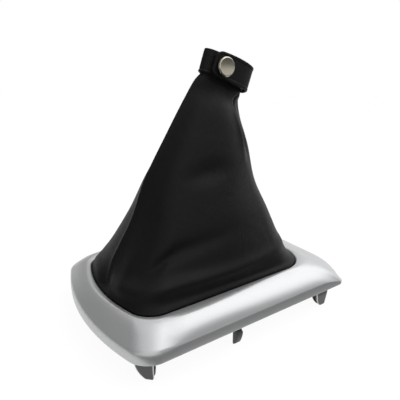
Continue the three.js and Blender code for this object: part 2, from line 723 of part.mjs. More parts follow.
// Closed band round the collar.
function collarBand() {
  const steps = 48;
  const rows = [];
  for (let k = 0; k < steps; k++) {
    const t = k / steps;
    rows.push([
      collarPoint(t, -LEATHER, -BAND_BELOW),
      collarPoint(t, -LEATHER, BAND_ABOVE - BAND_EDGE),
      collarPoint(t, -LEATHER / 2, BAND_ABOVE),
      collarPoint(t, 0, BAND_ABOVE - BAND_EDGE),
      collarPoint(t, 0, -BAND_BELOW),
    ]);
  }
  const hole = snapCylinder(SNAP_POST_RADIUS + GAP, -2 * LEATHER, LEATHER);
  return toGeometry(toSolid(gridGeometry(rows, true)).subtract(toSolid(hole)));
}

// A cylinder through the collar's near face at the press stud, between two distances from the band's face.
function snapCylinder(radius, from, to, sides = 24) {
  const geometry = new THREE.CylinderGeometry(radius, radius, to - from, sides);
  geometry.translate(SNAP_X, -(from + to) / 2 - SNAP_FACE, 0);
  return geometry;
}

// Where the band's near face lies at the press stud, in the collar's own frame.
const SNAP_FACE = (COLLAR_DEPTH / 2)
  * (1 - Math.abs(SNAP_X / (COLLAR_LENGTH / 2)) ** COLLAR_FLATNESS) ** (1 / COLLAR_PINCH);

// How far the strap's inner face stands off the band at a turn: proud at the stud, close at the fold.
const STRAP_SETTLES = { from: 0.98, to: 0.84 };
function strapStandoff(t) {
  return lerp(GAP, STRAP_LIFT, ramp(STRAP_SETTLES.from, STRAP_SETTLES.to, t));
}

// Turn at which the band's near face reaches a place along the collar.
function nearTurn(x) {
  const cos = Math.sign(x) * Math.abs(x / (COLLAR_LENGTH / 2)) ** (COLLAR_FLATNESS / 2);
  return 1 - Math.acos(cos) / (2 * Math.PI);
}

// Strap from its tab on the near face, round the fold and along the far face, its tab's corners cut.
function strap() {
  const steps = 34;
  const tabSteps = 4;
  const start = nearTurn(STRAP_TAB_END);
  const end = 2 - nearTurn(STRAP_TAIL);
  const rings = [];
  for (let k = 0; k <= steps; k++) {
    const t = lerp(start, end, k / steps);
    const off = strapStandoff(t);
    const cut = TAB_CUT * smooth(1 - k / tabSteps);
    const top = BAND_ABOVE - cut;
    const bottom = cut - STRAP_BELOW;
    const at = (outside, up) => collarPoint(t % 1, outside, up);
    rings.push([
      at(off, top),
      at(off + STRAP_THICKNESS, top),
      at(off + STRAP_THICKNESS, bottom),
      at(off, bottom),
    ]);
  }
  const body = gridGeometry(rings, false);
  const index = Array.from(body.index.array);
  index.push(0, 2, 1, 0, 3, 2);
  const last = steps * 4;
  index.push(last, last + 1, last + 2, last, last + 2, last + 3);
  body.setIndex(index);
  const hole = snapCylinder(SNAP_POST_RADIUS + GAP, 0, STRAP_LIFT + 2 * STRAP_THICKNESS);
  return toGeometry(toSolid(body).subtract(toSolid(hole)));
}

// Lathe profile in radius and distance from the band's face, turned about the press stud's axis.
function snapLathe(profile) {
  const geometry = new THREE.LatheGeometry(profile.map(([r, d]) => new THREE.Vector2(r, d)), 24);
  geometry.rotateX(Math.PI);
  geometry.translate(SNAP_X, -SNAP_FACE, 0);
  return geometry;
}

// Cap: a domed button with a rolled edge, and a post through the strap into the socket.
function snapCap() {
  const seat = STRAP_LIFT + STRAP_THICKNESS + GAP + SNAP_SHEET;
  const top = seat + SNAP_CAP_HEIGHT;
  const postEnd = SNAP_STUD_HEIGHT + GAP;
  return snapLathe([
    [0, postEnd],
    [SNAP_POST_RADIUS, postEnd],
    [SNAP_POST_RADIUS, seat + SNAP_SHEET],
    [SNAP_CAP_RADIUS - 2 * SNAP_SHEET, seat + SNAP_SHEET],
    [SNAP_CAP_RADIUS - SNAP_SHEET, seat],
    [SNAP_CAP_RADIUS, seat + SNAP_SHEET],
    [SNAP_CAP_RADIUS - SNAP_SHEET, top - SNAP_SHEET],
    [SNAP_CAP_RADIUS - 2 * SNAP_SHEET, top],
    [0, top + SNAP_SHEET / 4],
  ]);
}

// Socket under the strap: a cup whose mouth grips the stud.
function snapSocket() {
  const low = GAP + SNAP_SHEET;
  const high = STRAP_LIFT - 2 * GAP;
  return snapLathe([
    [SNAP_POST_RADIUS + GAP, high],
    [SNAP_SOCKET_BORE, high - SNAP_SHEET],
    [SNAP_SOCKET_BORE, low],
    [SNAP_SOCKET_RADIUS, low],
    [SNAP_SOCKET_RADIUS, high - SNAP_SHEET],
    [SNAP_SOCKET_RADIUS - SNAP_SHEET, high],
    [SNAP_POST_RADIUS + GAP, high],
  ]);
}

// Stud on the band: a beaded ring over the eyelet's tube.
function snapStud() {
  const bore = SNAP_POST_RADIUS + GAP;
  return snapLathe([
    [bore, GAP],
    [SNAP_STUD_RADIUS, GAP],
    [SNAP_STUD_RADIUS, SNAP_STUD_HEIGHT - GAP],
    [SNAP_STUD_RADIUS - GAP, SNAP_STUD_HEIGHT],
    [bore, SNAP_STUD_HEIGHT],
    [bore, GAP],
  ]);
}

// Eyelet from inside the boot: a flange, and a tube through the boot and the band to the stud.
function snapEyelet() {
  const seat = -2 * LEATHER - 3 * GAP;
  return snapLathe([
    [SNAP_EYELET_BORE, seat - SNAP_SHEET],
    [SNAP_EYELET_RADIUS, seat - SNAP_SHEET],
    [SNAP_EYELET_RADIUS, seat],
    [SNAP_POST_RADIUS, seat],
    [SNAP_POST_RADIUS, SNAP_STUD_HEIGHT],
    [SNAP_EYELET_BORE, SNAP_STUD_HEIGHT],
    [SNAP_EYELET_BORE, seat - SNAP_SHEET],
  ]);
}

const material = (color, roughness, metalness) => new THREE.MeshStandardMaterial({ color, roughness, metalness });
const silver = material(0xb9bbbe, 0.35, 0.7);
const leatherette = material(0x1b1c20, 0.55, 0);
const nickel = material(0xaaa58f, 0.25, 1);
const plastic = material(0x17181a, 0.5, 0);
const steel = material(0x3a3b3d, 0.4, 0.9);
const zinc = material(0x8d9094, 0.4, 0.9);

const gaiter = new THREE.Group();
function add(name, geometry, surface, parent = gaiter) {
  const mesh = new THREE.Mesh(geometry, surface);
  mesh.name = name;
  parent.add(mesh);
  return mesh;
}

add('bezel', bezel(), silver);
add('retainer', retainer(), plastic);
add('near_panel', nearPanel(), leatherette);
add('far_panel', panel(0), leatherette);
clipSpots().forEach((spot) => add(`clip_${spot.name}`, clip(spot), steel));
screwSpots().forEach((spot, k) => add(`retainer_screw_${k + 1}`, screw(spot), zinc));

const collar = new THREE.Group();
collar.applyMatrix4(collarFrame);
gaiter.add(collar);
add('collar_band', collarBand(), leatherette, collar);
add('strap', strap(), leatherette, collar);
add('snap_cap', snapCap(), nickel, collar);
add('snap_socket', snapSocket(), nickel, collar);
add('snap_stud', snapStud(), nickel, collar);
add('snap_eyelet', snapEyelet(), nickel, collar);

export default gaiter;
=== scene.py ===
# %% [markdown]
# A gear lever gaiter in three materials: a sewn leatherette boot, a collar with a press stud, and a
# silver-painted bezel that clips into a car's centre console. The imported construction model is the
# fixed frame. Every visible piece below is a fine surface worked out in the same place and size.

# %% The frame and the tools
import math

import bmesh
import bpy
import numpy as np
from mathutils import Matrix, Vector


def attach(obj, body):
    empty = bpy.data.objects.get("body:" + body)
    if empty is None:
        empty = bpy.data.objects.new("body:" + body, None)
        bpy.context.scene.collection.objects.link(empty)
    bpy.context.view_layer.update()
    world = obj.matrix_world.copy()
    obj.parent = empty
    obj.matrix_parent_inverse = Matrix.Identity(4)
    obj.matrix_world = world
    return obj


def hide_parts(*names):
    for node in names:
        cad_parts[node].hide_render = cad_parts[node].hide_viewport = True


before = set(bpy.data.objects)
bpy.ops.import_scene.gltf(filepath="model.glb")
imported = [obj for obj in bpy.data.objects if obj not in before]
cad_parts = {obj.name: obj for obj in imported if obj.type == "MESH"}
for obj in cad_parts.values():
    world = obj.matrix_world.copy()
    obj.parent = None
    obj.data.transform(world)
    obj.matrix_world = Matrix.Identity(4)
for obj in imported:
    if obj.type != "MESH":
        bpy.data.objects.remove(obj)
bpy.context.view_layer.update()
MM = 0.001

# %% [markdown]
# The real bezel is one injection moulding. Its opening has a bowed end and a square end, and so does
# its rim, but with other radii. Both edges are drawn at matched stations, so that a section can be
# carried from one to the other all the way round. These sizes are the moulding's own, in millimetres.

# %% Sizes of the bezel
OPENING_LENGTH, OPENING_WIDTH, OPENING_BOW = 142.5, 102.0, 11.0
OPENING_RADII = {"bowed": 11.6, "square": 26.5}
RIM_SIDE, RIM_BOWED, RIM_SQUARE = 19.4, 15.0, 23.6
RIM_RADII = {"bowed": 11.5, "square": 4.0}
RIM_BOW = 14.0
SQUARE_DRAW_IN, DRAW_IN_FROM = 4.1, 0.7
RIM_HEIGHT, RIM_LIFT = 17.7, 15.0

OPENING_Z = RIM_LIFT + RIM_HEIGHT
OPENING_X = (RIM_BOWED + OPENING_BOW - RIM_SQUARE) / 2
RIM_HALF = OPENING_WIDTH / 2 + RIM_SIDE
OPENING = {
    "left": OPENING_X - OPENING_LENGTH / 2, "right": OPENING_X + OPENING_LENGTH / 2,
    "half": OPENING_WIDTH / 2, "radii": OPENING_RADII, "draw_in": 0.0, "bow": OPENING_BOW,
}
RIM = {
    "left": OPENING["left"] - OPENING_BOW - RIM_BOWED + RIM_BOW, "right": OPENING["right"] + RIM_SQUARE,
    "half": RIM_HALF, "radii": RIM_RADII, "draw_in": SQUARE_DRAW_IN, "bow": RIM_BOW,
}
print("opening plane at z", OPENING_Z, "and middle at x", OPENING_X)

# %% [markdown]
# Four small functions are used all through. Each takes whole arrays, so a surface is worked out at once
# and not point by point. The eased step starts and ends level, which keeps one form from meeting the
# next along a visible line.

# %% Small helpers on whole arrays
def smooth(t):
    """Eased step: 3 t squared minus 2 t cubed, with t held between 0 and 1."""
    t = np.clip(t, 0, 1)
    return t * t * (3 - 2 * t)


def ramp(start, end, value):
    """Eased step from 0 at start to 1 at end."""
    return smooth((value - start) / (end - start))


def lerp(a, b, t):
    """Straight mix of a and b."""
    return a + (b - a) * t


def unit(v):
    """Each vector divided by its length."""
    return v / np.maximum(np.linalg.norm(v, axis=-1, keepdims=True), 1e-12)


print("the eased step, a quarter of the way along:", smooth(0.25))

# %% [markdown]
# Each outline could be drawn as a Bezier curve by hand, but its points would then not match the other
# one's. So both are straight runs and quarter circles, with the same number of stations on each run, and
# station k of one faces station k of the other. The bow and the drawn-in corners are added as a move.

# %% Bow and drawn-in corners
def end_shift(plan, x, y):
    """Move along X: the bow is a parabola across the width, and the square corners are drawn in."""
    along = (x - (plan["left"] + plan["right"]) / 2) / ((plan["right"] - plan["left"]) / 2)
    across = np.abs(y) / plan["half"]
    bowed = np.clip(-2 * along - 1, 0, 1)
    drawn = np.clip((across - DRAW_IN_FROM) / (1 - DRAW_IN_FROM), 0, 1) ** 2 * np.clip(along, 0, 1)
    return -plan["bow"] * (1 - across**2) * bowed - plan["draw_in"] * drawn


print("the bow is", OPENING["bow"], "mm at the opening and", RIM["bow"], "mm at the rim")

# %% Outlines at matched stations
FINE = 9
STEPS = {"square": 3, "square_corner": 6, "side": 9, "bowed_corner": 7, "bowed": 8}


def outline(plan):
    """Straight runs and quarter circles, counter-clockwise from the middle of the square end."""
    left, right, half = plan["left"], plan["right"], plan["half"]
    bowed, square = plan["radii"]["bowed"], plan["radii"]["square"]

    def line(a, b, steps):
        t = np.arange(steps * FINE)[:, None] / (steps * FINE)
        return np.array(a) * (1 - t) + np.array(b) * t

    def arc(x, y, r, quarter, steps):
        a = math.pi / 2 * (quarter + np.arange(steps * FINE) / (steps * FINE))
        return np.stack([x + r * np.cos(a), y + r * np.sin(a)], -1)

    p = np.concatenate([
        line((right, 0), (right, half - square), STEPS["square"]),
        arc(right - square, half - square, square, 0, STEPS["square_corner"]),
        line((right - square, half), (left + bowed, half), STEPS["side"]),
        arc(left + bowed, half - bowed, bowed, 1, STEPS["bowed_corner"]),
        line((left, half - bowed), (left, bowed - half), STEPS["bowed"]),
        arc(left + bowed, bowed - half, bowed, 2, STEPS["bowed_corner"]),
        line((left + bowed, -half), (right - square, -half), STEPS["side"]),
        arc(right - square, square - half, square, 3, STEPS["square_corner"]),
        line((right, square - half), (right, 0), STEPS["square"]),
    ])
    p[:, 0] += end_shift(plan, p[:, 0], p[:, 1])
    return p


print("each outline has", len(outline(RIM)), "points")

# %% Gentle spacing
def blurred(values, width):
    """Running mean round a closed row, three times over, which is close to a bell curve."""
    for _ in range(3):
        padded = np.concatenate([values[-width:], values, values[:width]])
        total = np.cumsum(np.concatenate([[0], padded]))
        values = (total[2 * width + 1:] - total[:-2 * width - 1]) / (2 * width + 1)
    return values


def evened(p, width):
    """The same closed line with its stations spread so that their spacing changes gently."""
    step = np.linalg.norm(np.roll(p, -1, 0) - p, axis=1)
    s = np.concatenate([[0], np.cumsum(step)])
    spread = blurred(step, width)
    t = np.concatenate([[0], np.cumsum(spread)[:-1]]) * s[-1] / spread.sum()
    start = -t[len(p) // 2] + s[len(p) // 2]
    closed = np.concatenate([p, p[:1]])
    t = (t + start) % s[-1]
    return np.stack([np.interp(t, s, closed[:, k]) for k in (0, 1)], -1)


inner_edge = evened(outline(OPENING), FINE)
outer_edge = evened(outline(RIM), FINE)
STATIONS = len(inner_edge)
print("stations round the bezel:", STATIONS)

# %% [markdown]
# A Blender mesh can be filled from arrays in one go. A surface here is a grid of points, so its faces
# follow from the grid's size alone. The same helper closes the grid round in one direction or both.
# Extruding and bevelling by hand would give the same walls, but not the same control of every station.

# %% Grids to meshes
def grid_faces(rows, columns, close_rows, close_columns):
    """Four corners of each cell of a grid, counted row by row."""
    i = np.arange(rows if close_rows else rows - 1)[:, None]
    j = np.arange(columns if close_columns else columns - 1)[None, :]
    a = i * columns + j
    b = i * columns + (j + 1) % columns
    c = (i + 1) % rows * columns + (j + 1) % columns
    d = (i + 1) % rows * columns + j
    return np.stack([a, b, c, d], -1).reshape(-1, 4)


def make_piece(name, points, faces, sharp=None):
    """A mesh object from points in millimetres; edges that turn more than sharp degrees stay crisp."""
    mesh = bpy.data.meshes.new(name)
    in_metres = np.asarray(points).reshape(-1, 3) * MM
    mesh.from_pydata(in_metres.tolist(), [], [list(map(int, face)) for face in faces])
    mesh.polygons.foreach_set("use_smooth", [True] * len(mesh.polygons))
    mesh.validate()
    mesh.update()
    if sharp is not None:
        mesh.set_sharp_from_angle(angle=math.radians(sharp))
    piece = bpy.data.objects.new(name, mesh)
    bpy.context.scene.collection.objects.link(piece)
    return piece


print("a closed 8 x 12 grid has", len(grid_faces(8, 12, True, True)), "faces")

# %% Closed pieces
def volume_of(points, faces):
    """Signed volume in cubic millimetres: a sixth of the triangles' triple products, positive if
    the faces look outward."""
    p = np.asarray(points).reshape(-1, 3)
    tri = np.concatenate([faces[:, [0, 1, 2]], faces[:, [0, 2, 3]]])
    a, b, c = (p[tri[:, k]] for k in range(3))
    return float((a * np.cross(b, c)).sum() / 6)


def closed_grid(name, points):
    """A closed piece from a grid (rows, columns, 3), turned outward if it came out inside out."""
    faces = grid_faces(points.shape[0], points.shape[1], True, True)
    if volume_of(points, faces) < 0:
        faces = faces[:, ::-1]
    return make_piece(name, points, faces)


cube = np.array([(x, y, z) for x in (0, 10) for y in (0, 10) for z in (0, 10)], float)
cube_faces = np.array([(0, 1, 3, 2), (4, 6, 7, 5), (0, 4, 5, 1), (2, 3, 7, 6), (0, 2, 6, 4), (1, 5, 7, 3)])
print("a cube of 10 mm measures", volume_of(cube, cube_faces), "cubic millimetres")

# %% [markdown]
# Leatherette and spring steel are sheets. Each is made as two grids, face and back, joined along their
# four edges, so that it is a closed solid with a real thickness. Blender's Solidify could do the same,
# but here the thickness has to swell and thin along a border.


def sheet_solid(name, outer, inner, sharp=40.0):
    """Face and back of a sheet as two grids, joined along their four edges to one closed piece."""
    ring = np.concatenate([outer, inner[:, ::-1]], 1)
    rows, columns = ring.shape[:2]
    faces = grid_faces(rows, columns, False, True)
    j = np.arange(columns // 2 - 1)
    cap = np.stack([j, j + 1, columns - 2 - j, columns - 1 - j], -1)
    faces = np.concatenate([faces, cap[:, ::-1], cap + (rows - 1) * columns])
    if volume_of(ring, faces) < 0:
        faces = faces[:, ::-1]
    return make_piece(name, ring, faces, sharp)


# %% Several solids in one piece
MERGE_WITHIN = 1e-7


def gathered(name, solids, sharp=35.0):
    """One piece from several closed solids, each its points and faces; poles are merged to a point."""
    start = np.cumsum([0] + [len(np.reshape(p, (-1, 3))) for p, _ in solids])
    points = np.concatenate([np.reshape(p, (-1, 3)) for p, _ in solids])
    faces = [(np.asarray(face) + first).tolist() for first, (_, f) in zip(start, solids) for face in f]
    piece = make_piece(name, points, faces)
    work = bmesh.new()
    work.from_mesh(piece.data)
    bmesh.ops.remove_doubles(work, verts=work.verts, dist=MERGE_WITHIN)
    bmesh.ops.recalc_face_normals(work, faces=work.faces)
    work.to_mesh(piece.data)
    work.free()
    piece.data.set_sharp_from_angle(angle=math.radians(sharp))
    return piece


print("points nearer than", MERGE_WITHIN, "m are merged when solids are gathered")

# %% Finishing a piece
def marked(piece, name, values):
    """Writes a value for each point into a mesh attribute, for a material to read."""
    layer = piece.data.attributes.new(name, "FLOAT", "POINT")
    layer.data.foreach_set("value", np.asarray(values, float).ravel())
    return piece


def finish_piece(piece, material, slot, *nodes):
    """Gives a piece its material, lets it ride, and puts it in the place of CAD nodes; slot is not used."""
    piece.data.materials.clear()
    piece.data.materials.append(material)
    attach(piece, "root")
    if nodes:
        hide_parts(*nodes)
    print(piece.name, "has", len(piece.data.polygons), "faces")
    return piece


# %% [markdown]
# An effect that several finishes share is a node group, built once. This one is a grain: two sizes of
# noise on Object coordinates, so that it stays in place on the piece. It gives a bumped normal and a
# mask that also makes the roughness uneven. A picture of a grain would need an unwrapped piece and would
# show its repeats, and noise needs neither.

# %% Nodes with names
def new_group(name, inputs, outputs):
    """An empty shader group with named sockets: (name, kind, default)."""
    tree = bpy.data.node_groups.new(name, "ShaderNodeTree")
    for side, sockets in (("INPUT", inputs), ("OUTPUT", outputs)):
        for label, kind, default in sockets:
            socket = tree.interface.new_socket(label, in_out=side, socket_type=kind)
            if default is not None:
                socket.default_value = default
    return tree


def node(tree, kind, **values):
    """A node with its settings, and its inputs by name."""
    made = tree.nodes.new(kind)
    for key, value in values.items():
        if key.startswith("in_"):
            made.inputs[key[3:].replace("_", " ")].default_value = value
        else:
            setattr(made, key, value)
    return made


def mapped(tree, source, low, high, from_low=0.0, from_high=1.0):
    """A Map Range node: a value between from_low and from_high becomes one between low and high."""
    n = node(
        tree, "ShaderNodeMapRange",
        in_From_Min=from_low, in_From_Max=from_high, in_To_Min=low, in_To_Max=high,
    )
    tree.links.new(source, n.inputs["Value"])
    return n.outputs["Result"]


print("a node's inputs are set by name, as in in_Scale=500")

# %% Shared grain
FINE_SHARE, GRAIN_SPREAD = 0.4, (0.4, 1.0)


def grain_group():
    """Height is coarse noise plus a share of fine noise; Bump turns it into a normal."""
    tree = new_group(
        "fine_grain",
        [("Coarse per metre", "NodeSocketFloat", 800.0), ("Fine per metre", "NodeSocketFloat", 4000.0),
         ("Depth", "NodeSocketFloat", 0.0001), ("Strength", "NodeSocketFloat", 1.0)],
        [("Normal", "NodeSocketVector", None), ("Mask", "NodeSocketFloat", None)],
    )
    inside, outside = tree.nodes.new("NodeGroupInput"), tree.nodes.new("NodeGroupOutput")
    place = tree.nodes.new("ShaderNodeTexCoord")
    coarse = node(tree, "ShaderNodeTexNoise", in_Detail=2.0)
    fine = node(tree, "ShaderNodeTexNoise", in_Detail=3.0)
    total = node(tree, "ShaderNodeMath", operation="MULTIPLY_ADD")
    total.inputs[1].default_value = FINE_SHARE
    bump = tree.nodes.new("ShaderNodeBump")
    link = tree.links.new
    link(place.outputs["Object"], coarse.inputs["Vector"])
    link(place.outputs["Object"], fine.inputs["Vector"])
    link(inside.outputs["Coarse per metre"], coarse.inputs["Scale"])
    link(inside.outputs["Fine per metre"], fine.inputs["Scale"])
    link(fine.outputs["Fac"], total.inputs[0])
    link(coarse.outputs["Fac"], total.inputs[2])
    link(total.outputs[0], bump.inputs["Height"])
    link(inside.outputs["Depth"], bump.inputs["Distance"])
    link(inside.outputs["Strength"], bump.inputs["Strength"])
    link(bump.outputs["Normal"], outside.inputs["Normal"])
    link(total.outputs[0], outside.inputs["Mask"])
    return tree


GRAIN = grain_group()
print("shared group:", GRAIN.name)

# %% Materials with a grain
def new_material(name, **shader_values):
    """A material with one Principled shader whose plain values are set on its own sockets."""
    material = bpy.data.materials.new(name)
    material.use_nodes = True
    tree = material.node_tree
    shader = tree.nodes["Principled BSDF"]
    for key, value in shader_values.items():
        shader.inputs[key.replace("_", " ")].default_value = value
    return material, tree, shader


def with_grain(tree, shader, coarse, fine, depth, rough_low, rough_high):
    """Places the grain group: its normal goes to the shader, and its mask sets the roughness."""
    grain = tree.nodes.new("ShaderNodeGroup")
    grain.node_tree = GRAIN
    grain.inputs["Coarse per metre"].default_value = coarse
    grain.inputs["Fine per metre"].default_value = fine
    grain.inputs["Depth"].default_value = depth
    roughness = mapped(tree, grain.outputs["Mask"], rough_low, rough_high, *GRAIN_SPREAD)
    tree.links.new(grain.outputs["Normal"], shader.inputs["Normal"])
    tree.links.new(roughness, shader.inputs["Roughness"])


print("the roughness follows the grain's mask between", *GRAIN_SPREAD)

# %% [markdown]
# Silver moulding paint is a base of fine metal flakes under a satin clear coat. It reflects softly, so
# its metal share is high and its roughness middling. The flakes are a tiny uneven colour. Inside, the
# moulding is bare black plastic, with a little overspray past the edge, held in a mesh attribute.

# %% Silver paint
FLAKES_PER_METRE = 6500.0
FLAKE_TONES = (0.50, 0.505, 0.515, 1), (0.60, 0.605, 0.61, 1)
BARE_PLASTIC = (0.025, 0.025, 0.027, 1)
PAINT_METALLIC = 0.65


def silver_paint():
    """Flake colour where the attribute "paint" is 1 and bare plastic where it is 0, with the grain."""
    material, tree, shader = new_material(
        "silver_paint", Metallic=PAINT_METALLIC, Roughness=0.36, Coat_Weight=0.12, Coat_Roughness=0.25,
    )
    with_grain(tree, shader, 900.0, 9000.0, 0.000015, 0.33, 0.4)
    place = tree.nodes.new("ShaderNodeTexCoord")
    flakes = node(tree, "ShaderNodeTexVoronoi", in_Scale=FLAKES_PER_METRE)
    tree.links.new(place.outputs["Object"], flakes.inputs["Vector"])
    tone = node(tree, "ShaderNodeValToRGB")
    for element, colour in zip(tone.color_ramp.elements, FLAKE_TONES):
        element.color = colour
    tree.links.new(flakes.outputs["Color"], tone.inputs["Fac"])
    paint = node(tree, "ShaderNodeAttribute", attribute_name="paint")
    mix = node(tree, "ShaderNodeMix", data_type="RGBA")
    mix.inputs["A"].default_value = BARE_PLASTIC
    tree.links.new(paint.outputs["Fac"], mix.inputs["Factor"])
    tree.links.new(tone.outputs["Color"], mix.inputs["B"])
    tree.links.new(mix.outputs["Result"], shader.inputs["Base Color"])
    metallic = mapped(tree, paint.outputs["Fac"], 0.0, PAINT_METALLIC)
    tree.links.new(metallic, shader.inputs["Metallic"])
    return material


SILVER = silver_paint()
print("finish:", SILVER.name)

# %% [markdown]
# The retainer, the fins, the hooks and the bosses are black plastic as it comes from the mould, with a
# fine spark-eroded grain. A plain dielectric with the shared grain is enough for it.

# %% Black plastic
def black_plastic():
    """Near black with the grain, its roughness between 0.36 and 0.52."""
    material, tree, shader = new_material(
        "black_plastic", Base_Color=(0.018, 0.018, 0.02, 1), Roughness=0.42,
    )
    with_grain(tree, shader, 1500.0, 5000.0, 0.00006, 0.36, 0.52)
    return material


PLASTIC = black_plastic()
print("finish:", PLASTIC.name)

# %% [markdown]
# Three metals are left. The press stud is nickel over brass, warm and bright. The spring clips are dark
# phosphated steel, coloured lighter along their cut edges as a painted highlight. The screws are zinc
# plated. They share one recipe: a metal colour, the grain above, and a lighter second tone, a painted
# highlight, where a mesh attribute marks an edge.

# %% Metals
def plated_metal(name, colour, highlight_colour, roughness, depth):
    """Metal with fine grain; the attribute "edge" brings in a lighter tone along edges, a painted
    highlight.
    """
    material, tree, shader = new_material(name, Metallic=1.0, Roughness=roughness)
    with_grain(tree, shader, 2500.0, 12000.0, depth, roughness * 0.85, roughness * 1.25)
    edge = node(tree, "ShaderNodeAttribute", attribute_name="edge")
    mix = node(tree, "ShaderNodeMix", data_type="RGBA")
    mix.inputs["A"].default_value = (*colour, 1)
    mix.inputs["B"].default_value = (*highlight_colour, 1)
    tree.links.new(edge.outputs["Fac"], mix.inputs["Factor"])
    tree.links.new(mix.outputs["Result"], shader.inputs["Base Color"])
    return material


# The second colour is the lighter tone of a painted highlight along marked edges; only the spring clips
# mark any.
NICKEL = plated_metal("nickel", (0.44, 0.41, 0.33), (0.72, 0.69, 0.6), 0.2, 0.000004)
SPRING_STEEL = plated_metal("spring_steel", (0.09, 0.09, 0.092), (0.55, 0.55, 0.54), 0.34, 0.00001)
ZINC = plated_metal("zinc", (0.45, 0.46, 0.48), (0.6, 0.6, 0.6), 0.3, 0.00001)
print("finishes:", NICKEL.name, SPRING_STEEL.name, ZINC.name)

# %% [markdown]
# The bezel's section changes round the rim. On the sides it is a flat band, a slope, a crisp crease and
# an upright edge. At the bowed end the crease fades into one round shoulder, and at the square corners
# it dips to a sharp tip. Each corner of the section gets its own small radius, as a mould has.

# %% Sizes of the bezel's section
WALL, TOP_WALL = 2.2, 2.4
TOP_BAND_SIDE, TOP_BAND_ENDS, TOP_BAND_CROWN = 8.6, 5.4, 0.35
LIP_RADIUS, LIP_DEPTH = 2.0, 9.2
CREASE_DROP = {"side": 10.3, "square": 7.0, "corner": 15.6, "bowed": 7.5}
CREASE_ROUND, CREASE_IN_BOWED, CORNER_DIP_REACH = 0.6, 0.21, 17.0
SHOULDER_BELOW = {"side": CREASE_ROUND, "bowed": 2.8}
PULL_RUN, PULL_DROP = {"side": 0.62, "bowed": 0.41}, {"side": 0.28, "bowed": 0.16}
SLOPE_STARTS, SLOPE_ENDS = 0.08, {"side": 0.96, "bowed": 0.62}
CREASE_EASED, SHOULDER_EASED = {"side": 0.9, "bowed": 6.0}, {"side": 2.5, "bowed": 6.0}
BAND_EASED, FOOT_EASED, EDGE_EASED, INSIDE_EASED, LIP_BACK_EASED = 1.2, 0.5, 0.3, 0.8, 0.4
BOWED_BLEND, SQUARE_BLEND, SQUARE_BLEND_SIDE = (32.3, 6.8), (43.2, 4.8), 12.0
FILLET_POINTS = 5
print("the crease lies this far down, in mm:", CREASE_DROP)

# %% Weights, curves and eased corners
def station_weights(p):
    """How much a rim point belongs to the bowed end, the square end and a square corner: two eased
    steps along the length, and a bell round each square corner."""
    from_side, from_end = RIM_HALF - np.abs(p[:, 1]), RIM["right"] - p[:, 0]
    bowed = ramp(*BOWED_BLEND, p[:, 0] - RIM["left"])
    square = ramp(*SQUARE_BLEND, from_end) * smooth(from_side / SQUARE_BLEND_SIDE)
    corner = np.exp(-(np.hypot(from_end, from_side) / CORNER_DIP_REACH) ** 2)
    return bowed, square, corner


def quadratic(a, b, c, t):
    """Curve from a to c drawn towards b: weights (1-t)^2, 2t(1-t) and t^2."""
    return (1 - t) ** 2 * a + 2 * t * (1 - t) * b + t * t * c


def filleted(corners, radii):
    """A closed line through corners (k, stations, 2), each corner eased over its radius by a curve."""
    rows = []
    count = len(corners)
    for k in range(count):
        before, here, after = corners[k - 1], corners[k], corners[(k + 1) % count]
        if np.all(radii[k] == 0):
            rows.append(here)
            continue
        back, ahead = before - here, after - here
        reach_back = np.minimum(radii[k], 0.45 * np.linalg.norm(back, axis=1))[:, None]
        reach_ahead = np.minimum(radii[k], 0.45 * np.linalg.norm(ahead, axis=1))[:, None]
        start, end = here + unit(back) * reach_back, here + unit(ahead) * reach_ahead
        for t in np.linspace(0, 1, FILLET_POINTS):
            rows.append(quadratic(start, here, end, t))
    return np.stack(rows)


weights = station_weights(outer_edge)
print("largest bowed, square and corner weight:", [round(float(w.max()), 2) for w in weights])

# %% Bezel section
def corner_at(distance, height):
    """One corner of the section at all stations: how far outward from the opening, and how high."""
    pair = np.stack(np.broadcast_arrays(distance, height), -1).astype(float)
    return pair + np.zeros((STATIONS, 1))


def side_to_bowed(values, bowed):
    """The sides' value mixed with the bowed end's."""
    return lerp(values["side"], values["bowed"], bowed)


def lip_and_band(band):
    """A quarter circle of the lip's radius, then a curve over the band with its low crown."""
    turn = np.linspace(0, math.pi / 2, 9)
    lip = [corner_at(LIP_RADIUS * (1 - math.cos(a)), LIP_RADIUS * (math.sin(a) - 1)) for a in turn]
    crest = corner_at(lerp(LIP_RADIUS, band, 0.5), 2 * TOP_BAND_CROWN)
    crown = [quadratic(lip[-1], crest, corner_at(band, 0), t) for t in (0.2, 0.4, 0.6, 0.8)]
    return lip + crown


def slope_line(band, crease, drop, bowed):
    """A curve from the band's end to the crease, drawn towards a point at shares of its run and drop."""
    run = lerp(band, crease[:, 0], side_to_bowed(PULL_RUN, bowed))
    pull = corner_at(run, -drop * side_to_bowed(PULL_DROP, bowed))
    last = side_to_bowed(SLOPE_ENDS, bowed)[:, None]
    shares = [lerp(SLOPE_STARTS, last, s) for s in np.linspace(0, 1, 12)]
    return [quadratic(corner_at(band, 0), pull, crease, t) for t in shares]


